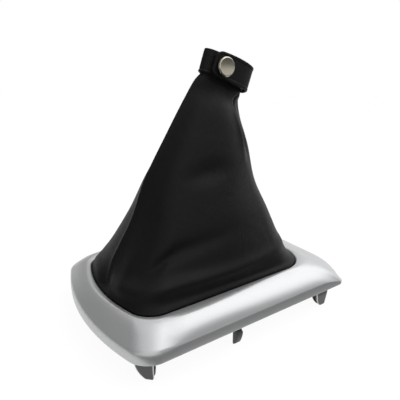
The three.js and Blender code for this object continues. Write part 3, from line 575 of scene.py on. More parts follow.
def bezel_section():
    """Corners round the section in order, outside first, and each one's radius, for all stations."""
    reach = np.linalg.norm(outer_edge - inner_edge, axis=1)
    bowed, square, corner = station_weights(outer_edge)
    band = lerp(TOP_BAND_SIDE, TOP_BAND_ENDS, np.maximum(bowed, square))
    drop = lerp(CREASE_DROP["side"], CREASE_DROP["square"], square)
    drop = lerp(drop, CREASE_DROP["corner"], corner)
    drop = lerp(drop, CREASE_DROP["bowed"], bowed)
    crease = corner_at(reach - CREASE_IN_BOWED * (reach - band) * bowed, -drop)
    shoulder = corner_at(reach, -drop - side_to_bowed(SHOULDER_BELOW, bowed))
    under_crease = np.maximum(-drop - WALL / 2, CREASE_ROUND - RIM_HEIGHT)
    parts = [
        (corner_at(0, -LIP_DEPTH), EDGE_EASED),
        (corner_at(0, -LIP_DEPTH / 2), 0),
        *((p, 0) for p in lip_and_band(band)),
        (corner_at(band, 0), BAND_EASED),
        *((p, 0) for p in slope_line(band, crease, drop, bowed)),
        (crease, side_to_bowed(CREASE_EASED, bowed)),
        (shoulder, side_to_bowed(SHOULDER_EASED, bowed)),
        (corner_at(reach, -RIM_HEIGHT), FOOT_EASED),
        (corner_at(reach - WALL, -RIM_HEIGHT), EDGE_EASED),
        (corner_at(crease[:, 0] - WALL, under_crease), INSIDE_EASED),
        (corner_at(np.maximum(WALL, band - WALL / 2), -TOP_WALL), INSIDE_EASED),
        (corner_at(WALL, -TOP_WALL), LIP_BACK_EASED),
        (corner_at(WALL, -LIP_DEPTH), EDGE_EASED),
    ]
    return filleted(np.stack([p for p, _ in parts]), [r for _, r in parts])


SECTION = bezel_section()
OUTWARD = unit(outer_edge - inner_edge)
print("the section has", len(SECTION), "points at each station")

# %% Bezel
BARE_CORNERS, OVERSPRAY = 5, 0.6


def bezel_shell():
    """Section point p is at inner edge + outward * p's distance, and at opening plane + p's height."""
    plan = inner_edge[None] + OUTWARD[None] * SECTION[..., :1]
    points = np.concatenate([plan, OPENING_Z + SECTION[..., 1:]], -1).transpose(1, 0, 2)
    piece = closed_grid("bezel_shell", points)
    painted = np.ones(len(SECTION))
    first_bare = len(SECTION) - BARE_CORNERS * FILLET_POINTS
    painted[first_bare:] = 0
    painted[first_bare - 1] = OVERSPRAY
    return marked(piece, "paint", np.tile(painted, len(points)))


finish_piece(bezel_shell(), SILVER, "silver_paint", "bezel")

# %% [markdown]
# Two halves of leatherette are sewn together along a ridge at each end, turned out, and clamped under
# the lip of the opening. The boot then narrows to a flat oval neck that leans towards the square end.
# The surface runs from the opening's outline to the collar's oval by a profile for each ridge and for
# the two faces.

# %% Sizes of the boot and its collar
GAP, LEATHER, BOOT_CLEARANCE = 0.3, 1.3, 0.5
COLLAR_X, COLLAR_RISE, COLLAR_TILT = 21.0, 143.0, math.radians(19.5)
COLLAR_LENGTH, COLLAR_DEPTH = 41.0, 13.0
COLLAR_FLATNESS, COLLAR_PINCH = 4.6, 1.6
BAND_ABOVE, BAND_BELOW, STRAP_BELOW = 8.8, 7.5, 7.8
BOOT_TOP = COLLAR_RISE + (BAND_ABOVE - LEATHER) * math.cos(COLLAR_TILT)
NECK = COLLAR_RISE - (BAND_BELOW + LEATHER) * math.cos(COLLAR_TILT)
print("the neck is", round(NECK, 1), "mm and the top", round(BOOT_TOP, 1), "mm above the opening")

# %% The collar's own axes
def power(v, p):
    """Signed power."""
    return np.sign(v) * np.abs(v) ** p


def collar_point(turn, outside, up):
    """Pinched oval: cos and sin raised to 2/flatness and 2/pinch, moved outward along its normal."""
    cos, sin = np.cos(turn * 2 * math.pi), np.sin(turn * 2 * math.pi)
    x, y = power(cos, 2 / COLLAR_FLATNESS), power(sin, 2 / COLLAR_PINCH)
    n = unit(np.stack([
        COLLAR_FLATNESS * power(x, COLLAR_FLATNESS - 1) / (COLLAR_LENGTH / 2),
        COLLAR_PINCH * power(y, COLLAR_PINCH - 1) / (COLLAR_DEPTH / 2),
    ], -1))
    x, y = x * COLLAR_LENGTH / 2 + n[..., 0] * outside, y * COLLAR_DEPTH / 2 + n[..., 1] * outside
    return np.stack([x, y, np.broadcast_to(up, x.shape)], -1)


def in_collar(p):
    """From the collar's own axes to the part's: turned about Y by its tilt, then moved to its place."""
    c, s = math.cos(COLLAR_TILT), math.sin(COLLAR_TILT)
    x, y, z = p[..., 0], p[..., 1], p[..., 2]
    return np.stack([c * x + s * z + OPENING_X + COLLAR_X, y, -s * x + c * z + OPENING_Z + COLLAR_RISE], -1)


print("the collar's middle is at", in_collar(np.zeros(3)).round(1), "mm")

# %% [markdown]
# Cloth simulation could hang a boot, but this one is held at both ends and its form is in its cut. So
# the surface is drawn: at each height it has a left and a right ridge, a half width, and a plan that
# goes from the opening's outline over a lens to the collar's oval. Each of the four changes by its own
# profile, a share of the way from the opening to the collar at ten heights, read off the photograph's
# outline and mended. The left ridge also tucks in a little just over the lip.

# %% Profiles of the boot
PROFILE_RISE = np.array([0, 0.043, 0.145, 0.326, 0.5, 0.724, 0.868, 0.955, 0.98, 1])
PROFILE_LEFT = np.array([0, 0.022, 0.118, 0.309, 0.439, 0.678, 0.83, 0.925, 0.962, 1])
PROFILE_RIGHT = np.array([0, 0.088, 0.175, 0.415, 0.623, 0.752, 0.97, 1.037, 1.0, 1])
PROFILE_HALF = np.array([0, 0.035, 0.09, 0.276, 0.48, 0.678, 0.813, 0.953, 0.977, 1])
PROFILE_LENS = np.array([0, 0.16, 0.38, 0.47, 0.605, 0.723, 0.809, 0.886, 0.947, 1])
OVAL_FROM = 0.93
FOOT_DRAW_IN, FOOT_SPREAD, FOOT_STARTS, FOOT_GROWS, FOOT_FADES = 3.6, 7.0, -0.9, 2.2, 22.0


def curve_through(x, xs, ys):
    """Cubic pieces through points: a slope is its two neighbours', held to twice the flatter side's."""
    side = np.diff(ys) / np.diff(xs)
    mean = (ys[2:] - ys[:-2]) / (xs[2:] - xs[:-2])
    most = np.where(side[1:] * side[:-1] > 0, 2 * np.minimum(np.abs(side[1:]), np.abs(side[:-1])), 0)
    slope = np.concatenate([side[:1], np.sign(mean) * np.minimum(np.abs(mean), most), side[-1:]])
    k = np.clip(np.searchsorted(xs, x) - 1, 0, len(xs) - 2)
    h = xs[k + 1] - xs[k]
    u = np.clip((x - xs[k]) / h, 0, 1)
    a, b = 2 * u**3 - 3 * u**2 + 1, u**3 - 2 * u**2 + u
    c, d = 3 * u**2 - 2 * u**3, u**3 - u**2
    return a * ys[k] + b * h * slope[k] + c * ys[k + 1] + d * h * slope[k + 1]


halfway = curve_through(0.5, PROFILE_RISE, PROFILE_LEFT)
print("at half its height the left ridge is", halfway, "of the way from the opening to the collar")

# %% Surface of the boot
LEAN = math.tan(COLLAR_TILT)
BOOT_LEFT = OPENING["left"] - OPENING_BOW + BOOT_CLEARANCE
BOOT_RIGHT, BOOT_HALF = OPENING["right"] - BOOT_CLEARANCE, OPENING["half"] - BOOT_CLEARANCE
NECK_ALONG = COLLAR_LENGTH / 2 - LEATHER - GAP
NECK_DEEP = COLLAR_DEPTH / 2 - LEATHER - GAP
edge_tangent = unit(np.roll(inner_edge, -1, 0) - np.roll(inner_edge, 1, 0))
edge_normal = np.stack([edge_tangent[:, 1], -edge_tangent[:, 0]], -1)
station_angle = np.arctan2(
    inner_edge[:, 1] / OPENING["half"], (inner_edge[:, 0] - OPENING_X) / (OPENING_LENGTH / 2),
)
station_turn = (station_angle / (2 * math.pi) + 1) % 1


def boot_ridges(height, rise):
    """Left ridge, right ridge and half width: from the opening's to the collar's by the profiles."""
    centre = OPENING_X + COLLAR_X + (np.maximum(height, NECK) - COLLAR_RISE) * LEAN
    reach = NECK_ALONG * math.cos(COLLAR_TILT)
    left = lerp(BOOT_LEFT, centre - reach, curve_through(rise, PROFILE_RISE, PROFILE_LEFT))
    right = lerp(BOOT_RIGHT, centre + reach, curve_through(rise, PROFILE_RISE, PROFILE_RIGHT))
    return left, right, lerp(BOOT_HALF, NECK_DEEP, curve_through(rise, PROFILE_RISE, PROFILE_HALF))


def boot_plan(index, rise):
    """Plan from -1 to 1 each way: the opening's outline, then cos against sin squared, then the oval."""
    inset = (inner_edge - BOOT_CLEARANCE * edge_normal)[index]
    square_x = (inset[None, :, 0] - (BOOT_LEFT + BOOT_RIGHT) / 2) / ((BOOT_RIGHT - BOOT_LEFT) / 2)
    square_y = inset[None, :, 1] / BOOT_HALF
    lens_x = np.cos(2 * math.pi * station_turn[index])[None]
    lens_y = np.sign(square_y) * (1 - lens_x**2)
    lens = np.clip(curve_through(rise, PROFILE_RISE, PROFILE_LENS), 0, 1)
    oval = collar_point(station_turn[index], -LEATHER - GAP, 0.0)[None]
    round_off = ramp(OVAL_FROM, 1, rise)
    x = lerp(lerp(square_x, lens_x, lens), oval[..., 0] / NECK_ALONG, round_off)
    return x, lerp(lerp(square_y, lens_y, lens), oval[..., 1] / NECK_DEEP, round_off)


def boot_surface(index, height):
    """Outer face at stations (columns) and heights (rows): middle + plan * half size, leaning as it
    rises, with the left ridge's foot moved in by a bell across it."""
    height = height[:, None]
    rise = np.clip(height / NECK, 0, 1)
    left, right, half = boot_ridges(height, rise)
    plan_x, plan_y = boot_plan(index, rise)
    middle = (left + right) / 2
    x = middle + (right - left) / 2 * plan_x
    y = half * plan_y
    foot = smooth((height - FOOT_STARTS) / FOOT_GROWS) * (1 - smooth(height / FOOT_FADES))
    x = x + FOOT_DRAW_IN * foot * np.exp(-(y / FOOT_SPREAD) ** 2) * (x < middle)
    z = OPENING_Z + height - LEAN * rise**2 * (x - middle)
    return np.stack([x, y, z], -1), rise


print("the boot narrows from", 2 * BOOT_HALF, "to", round(2 * NECK_DEEP, 1), "mm across")

# %% [markdown]
# Soft leatherette hangs in a few broad folds. Sculpting them would work, but a sum of soft bells is
# easier to place and to change. Each has a place (the turn round the boot, from the middle of the square
# end over the far side, and the rise from 0 at the opening to 1 at the neck), a width in turn, a height
# in rise, a depth in millimetres, which is negative for a hollow, and a slant of its middle as it rises.

# %% Folds in the leatherette
FOLDS = {
    "roll over the near lip": (0.67, 0.078, 0.15, 0.045, 3.8, 3.0),
    "valley above the roll": (0.658, 0.19, 0.045, 0.075, -3.0, 1.04),
    "valley along the near lip": (0.78, 0.022, 0.09, 0.018, -1.8, 0.0),
    "swelling by the left ridge": (0.548, 0.12, 0.018, 0.09, 1.6, 0.0),
    "dimple on the near side": (0.745, 0.56, 0.035, 0.055, -2.4, 0.27),
    "pleat under the collar": (0.837, 0.79, 0.014, 0.13, 1.6, 0.0),
    "hollow beside the pleat": (0.87, 0.8, 0.022, 0.15, -2.6, 0.0),
    "swelling at the far foot": (0.34, 0.1, 0.08, 0.05, 0.8, -0.12),
    "hollow on the far side": (0.25, 0.3, 0.07, 0.12, -2.5, 0.04),
    "hollow by the far neck": (0.1, 0.75, 0.035, 0.16, -2.0, 0.04),
}


def folds(turn, rise):
    """Sum of soft swellings and hollows: out * exp(-du^2 - dv^2), each slanted in turn as it rises."""
    total = 0
    for place, up, around, tall, out, slant in FOLDS.values():
        du = (turn - place - slant * (rise - up)) / around
        dv = (rise - up) / tall
        total = total + out * np.exp(-du**2 - dv**2)
    return total


print(len(FOLDS), "folds:", ", ".join(FOLDS))

# %% The two halves of the boot
LIP_ZONE = (-1, 3)
BOOT_HEIGHTS = np.concatenate([
    np.linspace(GAP - LIP_DEPTH, LIP_ZONE[0], 7, endpoint=False),
    np.linspace(*LIP_ZONE, 8, endpoint=False),
    np.linspace(LIP_ZONE[1], NECK, 118, endpoint=False),
    np.linspace(NECK, BOOT_TOP, 10),
])
SEAM_PINCH, SEAM_PINCH_REACH, SEAM_GAP = 1.5, 6.0, 0.01
PINCH_GROWS, PINCH_FADES, FOLDS_GROW, FOLDS_CLEAR_RIDGE = 0.05, 0.1, 0.03, 3
NORMAL_REACH = 4


def surface_normals(p):
    """Unit cross product of the grid's two directions, the first taken over several columns, because
    at a ridge the columns come close together."""
    column = np.arange(p.shape[1])
    ahead, back = np.minimum(column + NORMAL_REACH, column[-1]), np.maximum(column - NORMAL_REACH, 0)
    return unit(np.cross(p[:, ahead] - p[:, back], np.gradient(p, axis=0)))


def boot_half(name, first, side):
    """Outer face moved along its normal by folds less the ridge's pinch, which is the distance from the
    ridge times exp(1 - distance / reach), and the same face moved in by the leather's thickness."""
    count = STATIONS // 2
    k = np.arange(count + 1)
    face, rise = boot_surface((first + k) % STATIONS, BOOT_HEIGHTS)
    edge = np.minimum(k, count - k)[None, :] / FINE
    away = [np.linalg.norm(face - face[:, [end]], axis=-1) for end in (0, -1)]
    share = np.minimum(*away) / SEAM_PINCH_REACH
    pinch = SEAM_PINCH * share * np.exp(1 - share)
    pinch = pinch * smooth(rise / PINCH_GROWS) * smooth((1 - rise) / PINCH_FADES)
    turn = ((first + k) / STATIONS % 1)[None, :]
    push = folds(turn, rise) * smooth(edge / FOLDS_CLEAR_RIDGE) * smooth(rise / FOLDS_GROW) - pinch
    normal = surface_normals(face)
    outer = face + normal * push[..., None]
    inner = face + normal * (push - LEATHER)[..., None]
    for sheet in (outer, inner):
        sheet[..., 1] = side * np.maximum(side * sheet[..., 1], SEAM_GAP / 2)
    return sheet_solid(name, outer, inner)


print("rows of the boot:", len(BOOT_HEIGHTS), "columns of a half:", STATIONS // 2 + 1)

# %% [markdown]
# Leatherette is a coated cloth pressed with a pebble grain: rounded domes with fine furrows between
# them, and pores on top. The domes are a Voronoi texture read by its distance to the cell's edge, its
# cells bent by a little noise so that they aren't polygons. Below that lie soft creases a hundred times
# wider. Both are bumps, so the outline stays smooth, and the furrows are a little less glossy.

# %% Leatherette
PEBBLES, PEBBLE_WANDER, PORES, CREASES = 1200.0, 500.0, 3500.0, 70.0
WANDER_SHARE, PORE_SHARE, DOME_EDGE = 0.0008, 0.35, 0.22


def leatherette():
    """Near black; height is the domes plus a share of the pores, bumped on top of the wide creases."""
    material, tree, shader = new_material(
        "leatherette", Base_Color=(0.0048, 0.0048, 0.006, 1), Roughness=0.46, Specular_IOR_Level=0.15,
        Sheen_Weight=0.015, Sheen_Roughness=0.4,
    )
    place = tree.nodes.new("ShaderNodeTexCoord")
    pebbles = node(tree, "ShaderNodeTexVoronoi", feature="DISTANCE_TO_EDGE", in_Scale=PEBBLES)
    wander = node(tree, "ShaderNodeTexNoise", in_Scale=PEBBLE_WANDER, in_Detail=2.0)
    pores = node(tree, "ShaderNodeTexNoise", in_Scale=PORES, in_Detail=2.0)
    creases = node(tree, "ShaderNodeTexNoise", in_Scale=CREASES, in_Detail=3.0, in_Distortion=0.6)
    blend = node(tree, "ShaderNodeMix", data_type="RGBA", blend_type="LINEAR_LIGHT")
    blend.inputs["Factor"].default_value = WANDER_SHARE
    link = tree.links.new
    for texture in (wander, creases, pores):
        link(place.outputs["Object"], texture.inputs["Vector"])
    link(place.outputs["Object"], blend.inputs["A"])
    link(wander.outputs["Color"], blend.inputs["B"])
    link(blend.outputs["Result"], pebbles.inputs["Vector"])
    dome = mapped(tree, pebbles.outputs["Distance"], 0.0, 1.0, 0.0, DOME_EDGE)
    height = node(tree, "ShaderNodeMath", operation="MULTIPLY_ADD")
    height.inputs[1].default_value = PORE_SHARE
    link(pores.outputs["Fac"], height.inputs[0])
    link(dome, height.inputs[2])
    wide = node(tree, "ShaderNodeBump", in_Distance=0.0012, in_Strength=0.35)
    bump = node(tree, "ShaderNodeBump", in_Distance=0.00012, in_Strength=0.5)
    link(creases.outputs["Fac"], wide.inputs["Height"])
    link(height.outputs[0], bump.inputs["Height"])
    link(wide.outputs["Normal"], bump.inputs["Normal"])
    link(bump.outputs["Normal"], shader.inputs["Normal"])
    link(mapped(tree, height.outputs[0], 0.6, 0.42, 0.1, 1.2), shader.inputs["Roughness"])
    return material


LEATHERETTE = leatherette()
print("finish:", LEATHERETTE.name)

# %% The boot, dressed
near_cover = boot_half("near_cover", STATIONS // 2, -1)
far_cover = boot_half("far_cover", 0, 1)
finish_piece(near_cover, LEATHERETTE, "leatherette", "near_panel")
finish_piece(far_cover, LEATHERETTE, "leatherette", "far_panel")

# %% [markdown]
# The collar is a band of the same leatherette sewn round the neck, with a bead along its lower edge, and
# a strap that closes over it with a press stud. Leather is cut from sheet and its edges are turned, so
# both pieces are sheets whose thickness swells at the turned border and rounds off at the cut.

# %% Along the collar's oval
def even_turns(first, last, spacing):
    """Turns whose points on the collar's oval lie an even way apart, and the way to each."""
    turn = np.linspace(first, last, 8001)
    p = collar_point(turn % 1, 0.0, 0.0)
    way = np.concatenate([[0], np.cumsum(np.linalg.norm(np.diff(p, axis=0), axis=1))])
    even = np.linspace(0, way[-1], int(round(way[-1] / spacing)) + 1)
    return np.interp(even, way, turn), even


def bell(x, middle, width):
    """exp of minus the square of the distance from the middle, in widths."""
    return np.exp(-((x - middle) / width) ** 2)


print("the way round the collar is", round(even_turns(0.0, 1.0, 1.0)[1][-1], 1), "mm")

# %% Collar band
BAND_STEP, BAND_ROWS = 0.45, 44
# Each of the three is how far it stands out, how far it is above the band's lower edge, and its width.
BEAD = {"out": 0.34, "up": 0.8, "wide": 0.55}
BEAD_GROOVE = {"out": -0.2, "up": 2.0, "wide": 0.5}
FOLD_GROOVE = {"out": -0.12, "up": BAND_ABOVE + BAND_BELOW - 5.6, "wide": 0.4}
DENT_DEPTH = 0.14


def band_cover():
    """A closed section, bead and groove below and a fold on top, carried round the oval."""
    turn, way = even_turns(0.0, 1.0, BAND_STEP)
    turn, way = turn[:-1, None], way[:-1, None]
    half, low, high = LEATHER / 2, LEATHER / 2 - BAND_BELOW, BAND_ABOVE - LEATHER / 2
    up = lerp(high, low, np.linspace(0, 1, BAND_ROWS))
    ridges = (BEAD, BEAD_GROOVE, FOLD_GROOVE)
    face = sum(ridge["out"] * bell(up, ridge["up"] - BAND_BELOW, ridge["wide"]) for ridge in ridges)
    a = np.linspace(0, math.pi, 9)[1:-1]
    out = np.concatenate([[-LEATHER, -LEATHER], -half - half * np.cos(a), face, -half + half * np.cos(a)])
    height = np.concatenate([[low, high], high + half * np.sin(a), up, low - half * np.sin(a)])
    dents = np.sin(way / 5.1 + height / 4.0) * np.sin(way / 2.9 - height / 6.5 + 1.0)
    out = out + DENT_DEPTH * dents * (out > -0.5)
    return closed_grid("band_cover", in_collar(collar_point(turn + 0 * height, out, height)))


band = finish_piece(band_cover(), LEATHERETTE, "leatherette", "collar_band")

# %% Strap
STRAP_THICKNESS, STRAP_LIFT, STRAP_TAB_END, STRAP_TAIL = 1.5, 2.4, -15.0, -4.0
STRAP_SETTLES, STRAP_STEP, STRAP_ROWS = (0.98, 0.84), 0.3, 45
STRAP_CROWN, TAB_RADIUS, BOTTOM_CORNER_SHARE = 1.3, 4.6, 0.8
# At the fold both edges of the strap drop: how far, and how wide. The groove beside the turned border
# has a depth, a distance past the border and a width.
FOLD_DROP_TOP, FOLD_DROP_BOTTOM = (1.5, 3.0), (1.0, 5.0)
TURNED_BORDER, BORDER_SWELL, BORDER_SOFT = 1.7, 0.22, 0.5
BORDER_GROOVE, THINNEST = (0.14, 0.7, 0.3), 0.04


def near_turn(x):
    """Turn at which the band's near face reaches a place along the collar."""
    return 1 - math.acos(np.sign(x) * abs(x / (COLLAR_LENGTH / 2)) ** (COLLAR_FLATNESS / 2)) / (2 * math.pi)


def strap_cover():
    """Round-cornered strip along the oval; half its thickness is sqrt(1 - (1 - edge distance / half)^2)."""
    first, last = near_turn(STRAP_TAB_END), 2 - near_turn(STRAP_TAIL)
    turn, way = even_turns(first, last, STRAP_STEP)
    fold = np.interp(1.0, turn, way)
    corner = TAB_RADIUS - np.sqrt(TAB_RADIUS**2 - (TAB_RADIUS - np.minimum(way, TAB_RADIUS)) ** 2)
    crown = STRAP_CROWN * np.sin(math.pi * np.clip(way / fold, 0, 1))
    top = BAND_ABOVE - corner + crown - FOLD_DROP_TOP[0] * bell(way, fold, FOLD_DROP_TOP[1])
    bottom = BOTTOM_CORNER_SHARE * corner - STRAP_BELOW
    bottom = bottom - FOLD_DROP_BOTTOM[0] * bell(way, fold, FOLD_DROP_BOTTOM[1])
    v = np.sin(np.linspace(-math.pi / 2, math.pi / 2, STRAP_ROWS))[None, :]
    up = lerp(bottom[:, None], top[:, None], (v + 1) / 2)
    edge = np.minimum(np.minimum(top[:, None] - up, up - bottom[:, None]), way[:, None] + 0 * up)
    half = STRAP_THICKNESS / 2
    share = np.sqrt(1 - (1 - np.clip(edge / half, THINNEST, 1)) ** 2)
    depth, beyond, wide = BORDER_GROOVE
    swell = BORDER_SWELL * (1 - smooth((edge - TURNED_BORDER) / BORDER_SOFT))
    swell = swell - depth * bell(edge, TURNED_BORDER + beyond, wide)
    off = lerp(GAP, STRAP_LIFT, ramp(*STRAP_SETTLES, turn))[:, None] + half
    place = turn[:, None] % 1 + 0 * up
    outer = in_collar(collar_point(place, off + (half + swell) * share, up))
    inner = in_collar(collar_point(place, off - half * share, up))
    return sheet_solid("strap_cover", outer, inner, 80.0)


strap = finish_piece(strap_cover(), LEATHERETTE, "leatherette", "strap")

# %% [markdown]
# The press stud has four turned or drawn metal parts: a cap on the strap with a socket under it, and a
# stud on the band held by an eyelet from inside. Each is a profile spun about the stud's axis, which
# runs square through the collar's near face.

# %% Press stud
SNAP_X, SNAP_SHEET = -7.4, 0.5
SNAP_ALONG = abs(SNAP_X / (COLLAR_LENGTH / 2))
SNAP_FACE = COLLAR_DEPTH / 2 * (1 - SNAP_ALONG**COLLAR_FLATNESS) ** (1 / COLLAR_PINCH)
CAP_RADIUS, CAP_HEIGHT, CAP_CROWN, POST_RADIUS = 6.8, 2.2, 0.12, 1.5
CAP_RIM, CAP_CURL, CAP_TAPER = 0.75, 0.6, 0.1
SOCKET_RADIUS, SOCKET_BORE, STUD_RADIUS, STUD_HEIGHT = 5.0, 3.0, 2.6, 1.3
EYELET_RADIUS, EYELET_BORE = 3.2, 0.8
TURN_STEPS = 72


def turned(profile, radii, steps=TURN_STEPS):
    """A profile of (radius, height) with eased corners, at angles a: r cos a, r sin a, height."""
    line = filleted(np.array(profile, float)[:, None, :], radii)[:, 0]
    a = np.linspace(0, 2 * math.pi, steps, endpoint=False)[:, None]
    return np.stack([line[:, 0] * np.cos(a), line[:, 0] * np.sin(a), line[:, 1] + 0 * a], -1)


def on_stud(p):
    """From a turned piece's own axes to the collar's near face, its height pointing outward."""
    return in_collar(np.stack([SNAP_X + p[..., 0], -SNAP_FACE - p[..., 2], p[..., 1]], -1))


def stud_piece(name, profile, radii, closed):
    """A turned piece in its place; a closed profile is a ring, and an open one ends on the axis."""
    grid = turned(profile, radii)
    faces = grid_faces(grid.shape[0], grid.shape[1], True, closed)
    return gathered(name, [(on_stud(grid), faces)])


seat = STRAP_LIFT + STRAP_THICKNESS + GAP + SNAP_SHEET
cap_top = seat + CAP_HEIGHT
low, high = GAP + SNAP_SHEET, STRAP_LIFT - 2 * GAP
inside = -2 * LEATHER - 3 * GAP
bore = POST_RADIUS + GAP
print("the cap's face stands", round(cap_top, 2), "mm off the band")

# %% Parts of the press stud
finish_piece(stud_piece("press_stud_cap", [
    (0, STUD_HEIGHT + GAP), (POST_RADIUS, STUD_HEIGHT + GAP), (POST_RADIUS, seat + SNAP_SHEET),
    (CAP_RADIUS - 2 * CAP_CURL, seat + SNAP_SHEET), (CAP_RADIUS - CAP_CURL, seat),
    (CAP_RADIUS, seat + CAP_CURL / 2), (CAP_RADIUS - CAP_TAPER, cap_top - CAP_RIM),
    (CAP_RADIUS - CAP_RIM, cap_top), (0, cap_top + CAP_CROWN),
], [0, 0.1, 0.15, 0.2, 0.3, 0.3, 0.35, 0.35, 0], False), NICKEL, "nickel", "snap_cap")
finish_piece(stud_piece("press_stud_socket", [
    (bore, high), (SOCKET_BORE, high - SNAP_SHEET), (SOCKET_BORE, low), (SOCKET_RADIUS, low),
    (SOCKET_RADIUS, high - SNAP_SHEET), (SOCKET_RADIUS - SNAP_SHEET, high),
], [0, 0.2, 0.12, 0.2, 0.2, 0.2], True), NICKEL, "nickel", "snap_socket")
finish_piece(stud_piece("press_stud_post", [
    (bore, GAP), (STUD_RADIUS, GAP), (STUD_RADIUS, STUD_HEIGHT), (bore, STUD_HEIGHT),
], [0, 0.2, 0.35, 0.2], True), NICKEL, "nickel", "snap_stud")
finish_piece(stud_piece("press_stud_eyelet", [
    (EYELET_BORE, inside - SNAP_SHEET), (EYELET_RADIUS, inside - SNAP_SHEET), (EYELET_RADIUS, inside),
    (POST_RADIUS, inside), (POST_RADIUS, STUD_HEIGHT), (EYELET_BORE, STUD_HEIGHT),
], [0.3, 0.2, 0.2, 0.1, 0.2, 0.2], True), NICKEL, "nickel", "snap_eyelet")

# %% [markdown]
# Under the bezel stand the parts that hold it: six bosses for the retainer's screws, four fins that
# carry spring clips, and two snap hooks. They are one moulding with the bezel and left black. A fin or a
# hook is a plate with eased edges, and all of them end in the middle of the bezel's wall above.

# %% Places under the bezel
BLADE_THICKNESS, BLADE_INSET, BLADE_WIDTH, BLADE_TRIM = 2.0, 5.4, 12.0, 0.4
FIN_TAPER, FIN_TIP_RISE, FIN_TIP_IN, FIN_BOW_IN, FIN_BOW_RISE = 0.6, 3.0, 4.4, 1.4, 12.0
CORNER_CLIP_ANGLE, SQUARE_CLIP_FROM_END = math.radians(34), 25.8
CLIP_SHEET, CLIP_FLARE, CLIP_FOLD, CLIP_KINK_DROP, CLIP_ABOVE_RIM = 0.7, 1.3, 1.6, 3.0, 3.5
HOOK_WIDTH, HOOK_DEPTH, HOOK_BARB, HOOK_NOSE, HOOK_X, CONSOLE_EDGE = 5.0, 2.6, 2.2, 0.9, -12.0, 2.8
BOSS_RADIUS, BOSS_OFFSET, SCREW_SPACING, SCREW_BITE = 3.0, 6.0, 46.0, 5.5
SHANK_RADIUS, HEAD_RADIUS, HEAD_HEIGHT = 1.4, 3.0, 2.0
RETAINER_WALL, RETAINER_WALL_RISE, RETAINER_FLANGE, RETAINER_REACH = 2.0, 8.3, 2.5, 9.5

screw_spots = [
    (OPENING_X + k * SCREW_SPACING, side * (OPENING["half"] + BOSS_OFFSET))
    for side in (-1, 1) for k in (-1, 0, 1)
]


def corner_point(angle):
    """Point on the rim's bowed near corner, at an angle past the end's own direction."""
    r = RIM["radii"]["bowed"]
    x = RIM["left"] + r - r * math.cos(angle)
    y = r - RIM_HALF - r * math.sin(angle)
    return np.array([x + end_shift(RIM, x, y), y])


def clip_spots():
    """Place, turn and side of each fin: the bowed end's two corners, and two places near the square
    end. Each is set in from the rim so that its corners clear the wall's inner face."""
    along = unit(corner_point(CORNER_CLIP_ANGLE + 0.1) - corner_point(CORNER_CLIP_ANGLE - 0.1))
    wall_radius = RIM["radii"]["bowed"] - WALL - GAP
    inset = BLADE_INSET + wall_radius - math.sqrt(max(0, wall_radius**2 - (BLADE_WIDTH / 2) ** 2))
    foot = corner_point(CORNER_CLIP_ANGLE) + inset * np.array([-along[1], along[0]])
    corner = (foot[0], foot[1], math.atan2(along[1], along[0]))
    side = (RIM["right"] - SQUARE_CLIP_FROM_END, BLADE_INSET - RIM_HALF, 0.0)
    return {
        "near_left": (*corner, 1), "near_right": (*side, 1),
        "far_left": (*corner, -1), "far_right": (*side, -1),
    }


for name, (x, y, turn, side) in clip_spots().items():
    print("clip", name, "at", round(float(x), 1), round(float(side * y), 1), "mm")


# %% Plates and where they end
def placed(p, spot):
    """From (width, thickness, height) to the spot: turned about Z, moved, and mirrored on the far side."""
    x, y, turn, side = spot
    c, s = math.cos(turn), math.sin(turn)
    out_y = side * (y + s * p[..., 0] + c * p[..., 1])
    return np.stack([x + c * p[..., 0] - s * p[..., 1], out_y, p[..., 2]], -1)


def wall_middle(p):
    """Height of the middle of the bezel's wall over points: the nearest station's section, and on it
    the straight mix of the two section points on either side."""
    top = SECTION[:np.argmax(SECTION[:, 0, 1] <= -RIM_HEIGHT + FOOT_EASED)]
    offset = p[:, None, :2] - inner_edge[None]
    distance = (offset * OUTWARD).sum(-1)
    aside = np.abs(offset[..., 0] * OUTWARD[:, 1] - offset[..., 1] * OUTWARD[:, 0])
    station = np.where(distance < 0, np.inf, aside).argmin(1)
    point = np.arange(len(p))
    away = distance[point, station]
    run, level = top[:, station, 0], top[:, station, 1]
    k = np.clip((run <= away).sum(0) - 1, 0, len(top) - 2)
    step = np.maximum(run[k + 1, point] - run[k, point], 1e-9)
    share = np.clip((away - run[k, point]) / step, 0, 1)
    return OPENING_Z - TOP_WALL / 2 + lerp(level[k, point], level[k + 1, point], share)


def slab(line, thickness, edge=EDGE_EASED):
    """A plate: its outline set in by edge (1 - sin a) at a depth of edge (1 - cos a) from each face."""
    t = unit(np.roll(line, -1, 0) - np.roll(line, 1, 0))
    twice_area = (line[:, 0] * np.roll(line[:, 1], -1) - line[:, 1] * np.roll(line[:, 0], -1)).sum()
    n = np.stack([t[:, 1], -t[:, 0]], -1) * np.sign(twice_area)
    a = np.linspace(0, math.pi / 2, 4)
    a, face = np.concatenate([a, a[::-1]]), np.repeat([-1, 1], 4)
    plan = line[None] - n[None] * (edge * (1 - np.sin(a)))[:, None, None]
    depth = (face * (thickness / 2 - edge * (1 - np.cos(a))))[:, None, None] + 0 * plan[..., :1]
    count = len(line)
    ends = [list(range(count)), list(range(7 * count, 8 * count))]
    return np.concatenate([plan, depth], -1), list(grid_faces(8, count, False, True)) + ends


over_screw = wall_middle(np.array([(*screw_spots[0], 0.0)]))
print("over the first screw the middle of the wall is at z", over_screw.round(1), "mm")

# %% Outline of a fin
CURVE_POINTS = 16


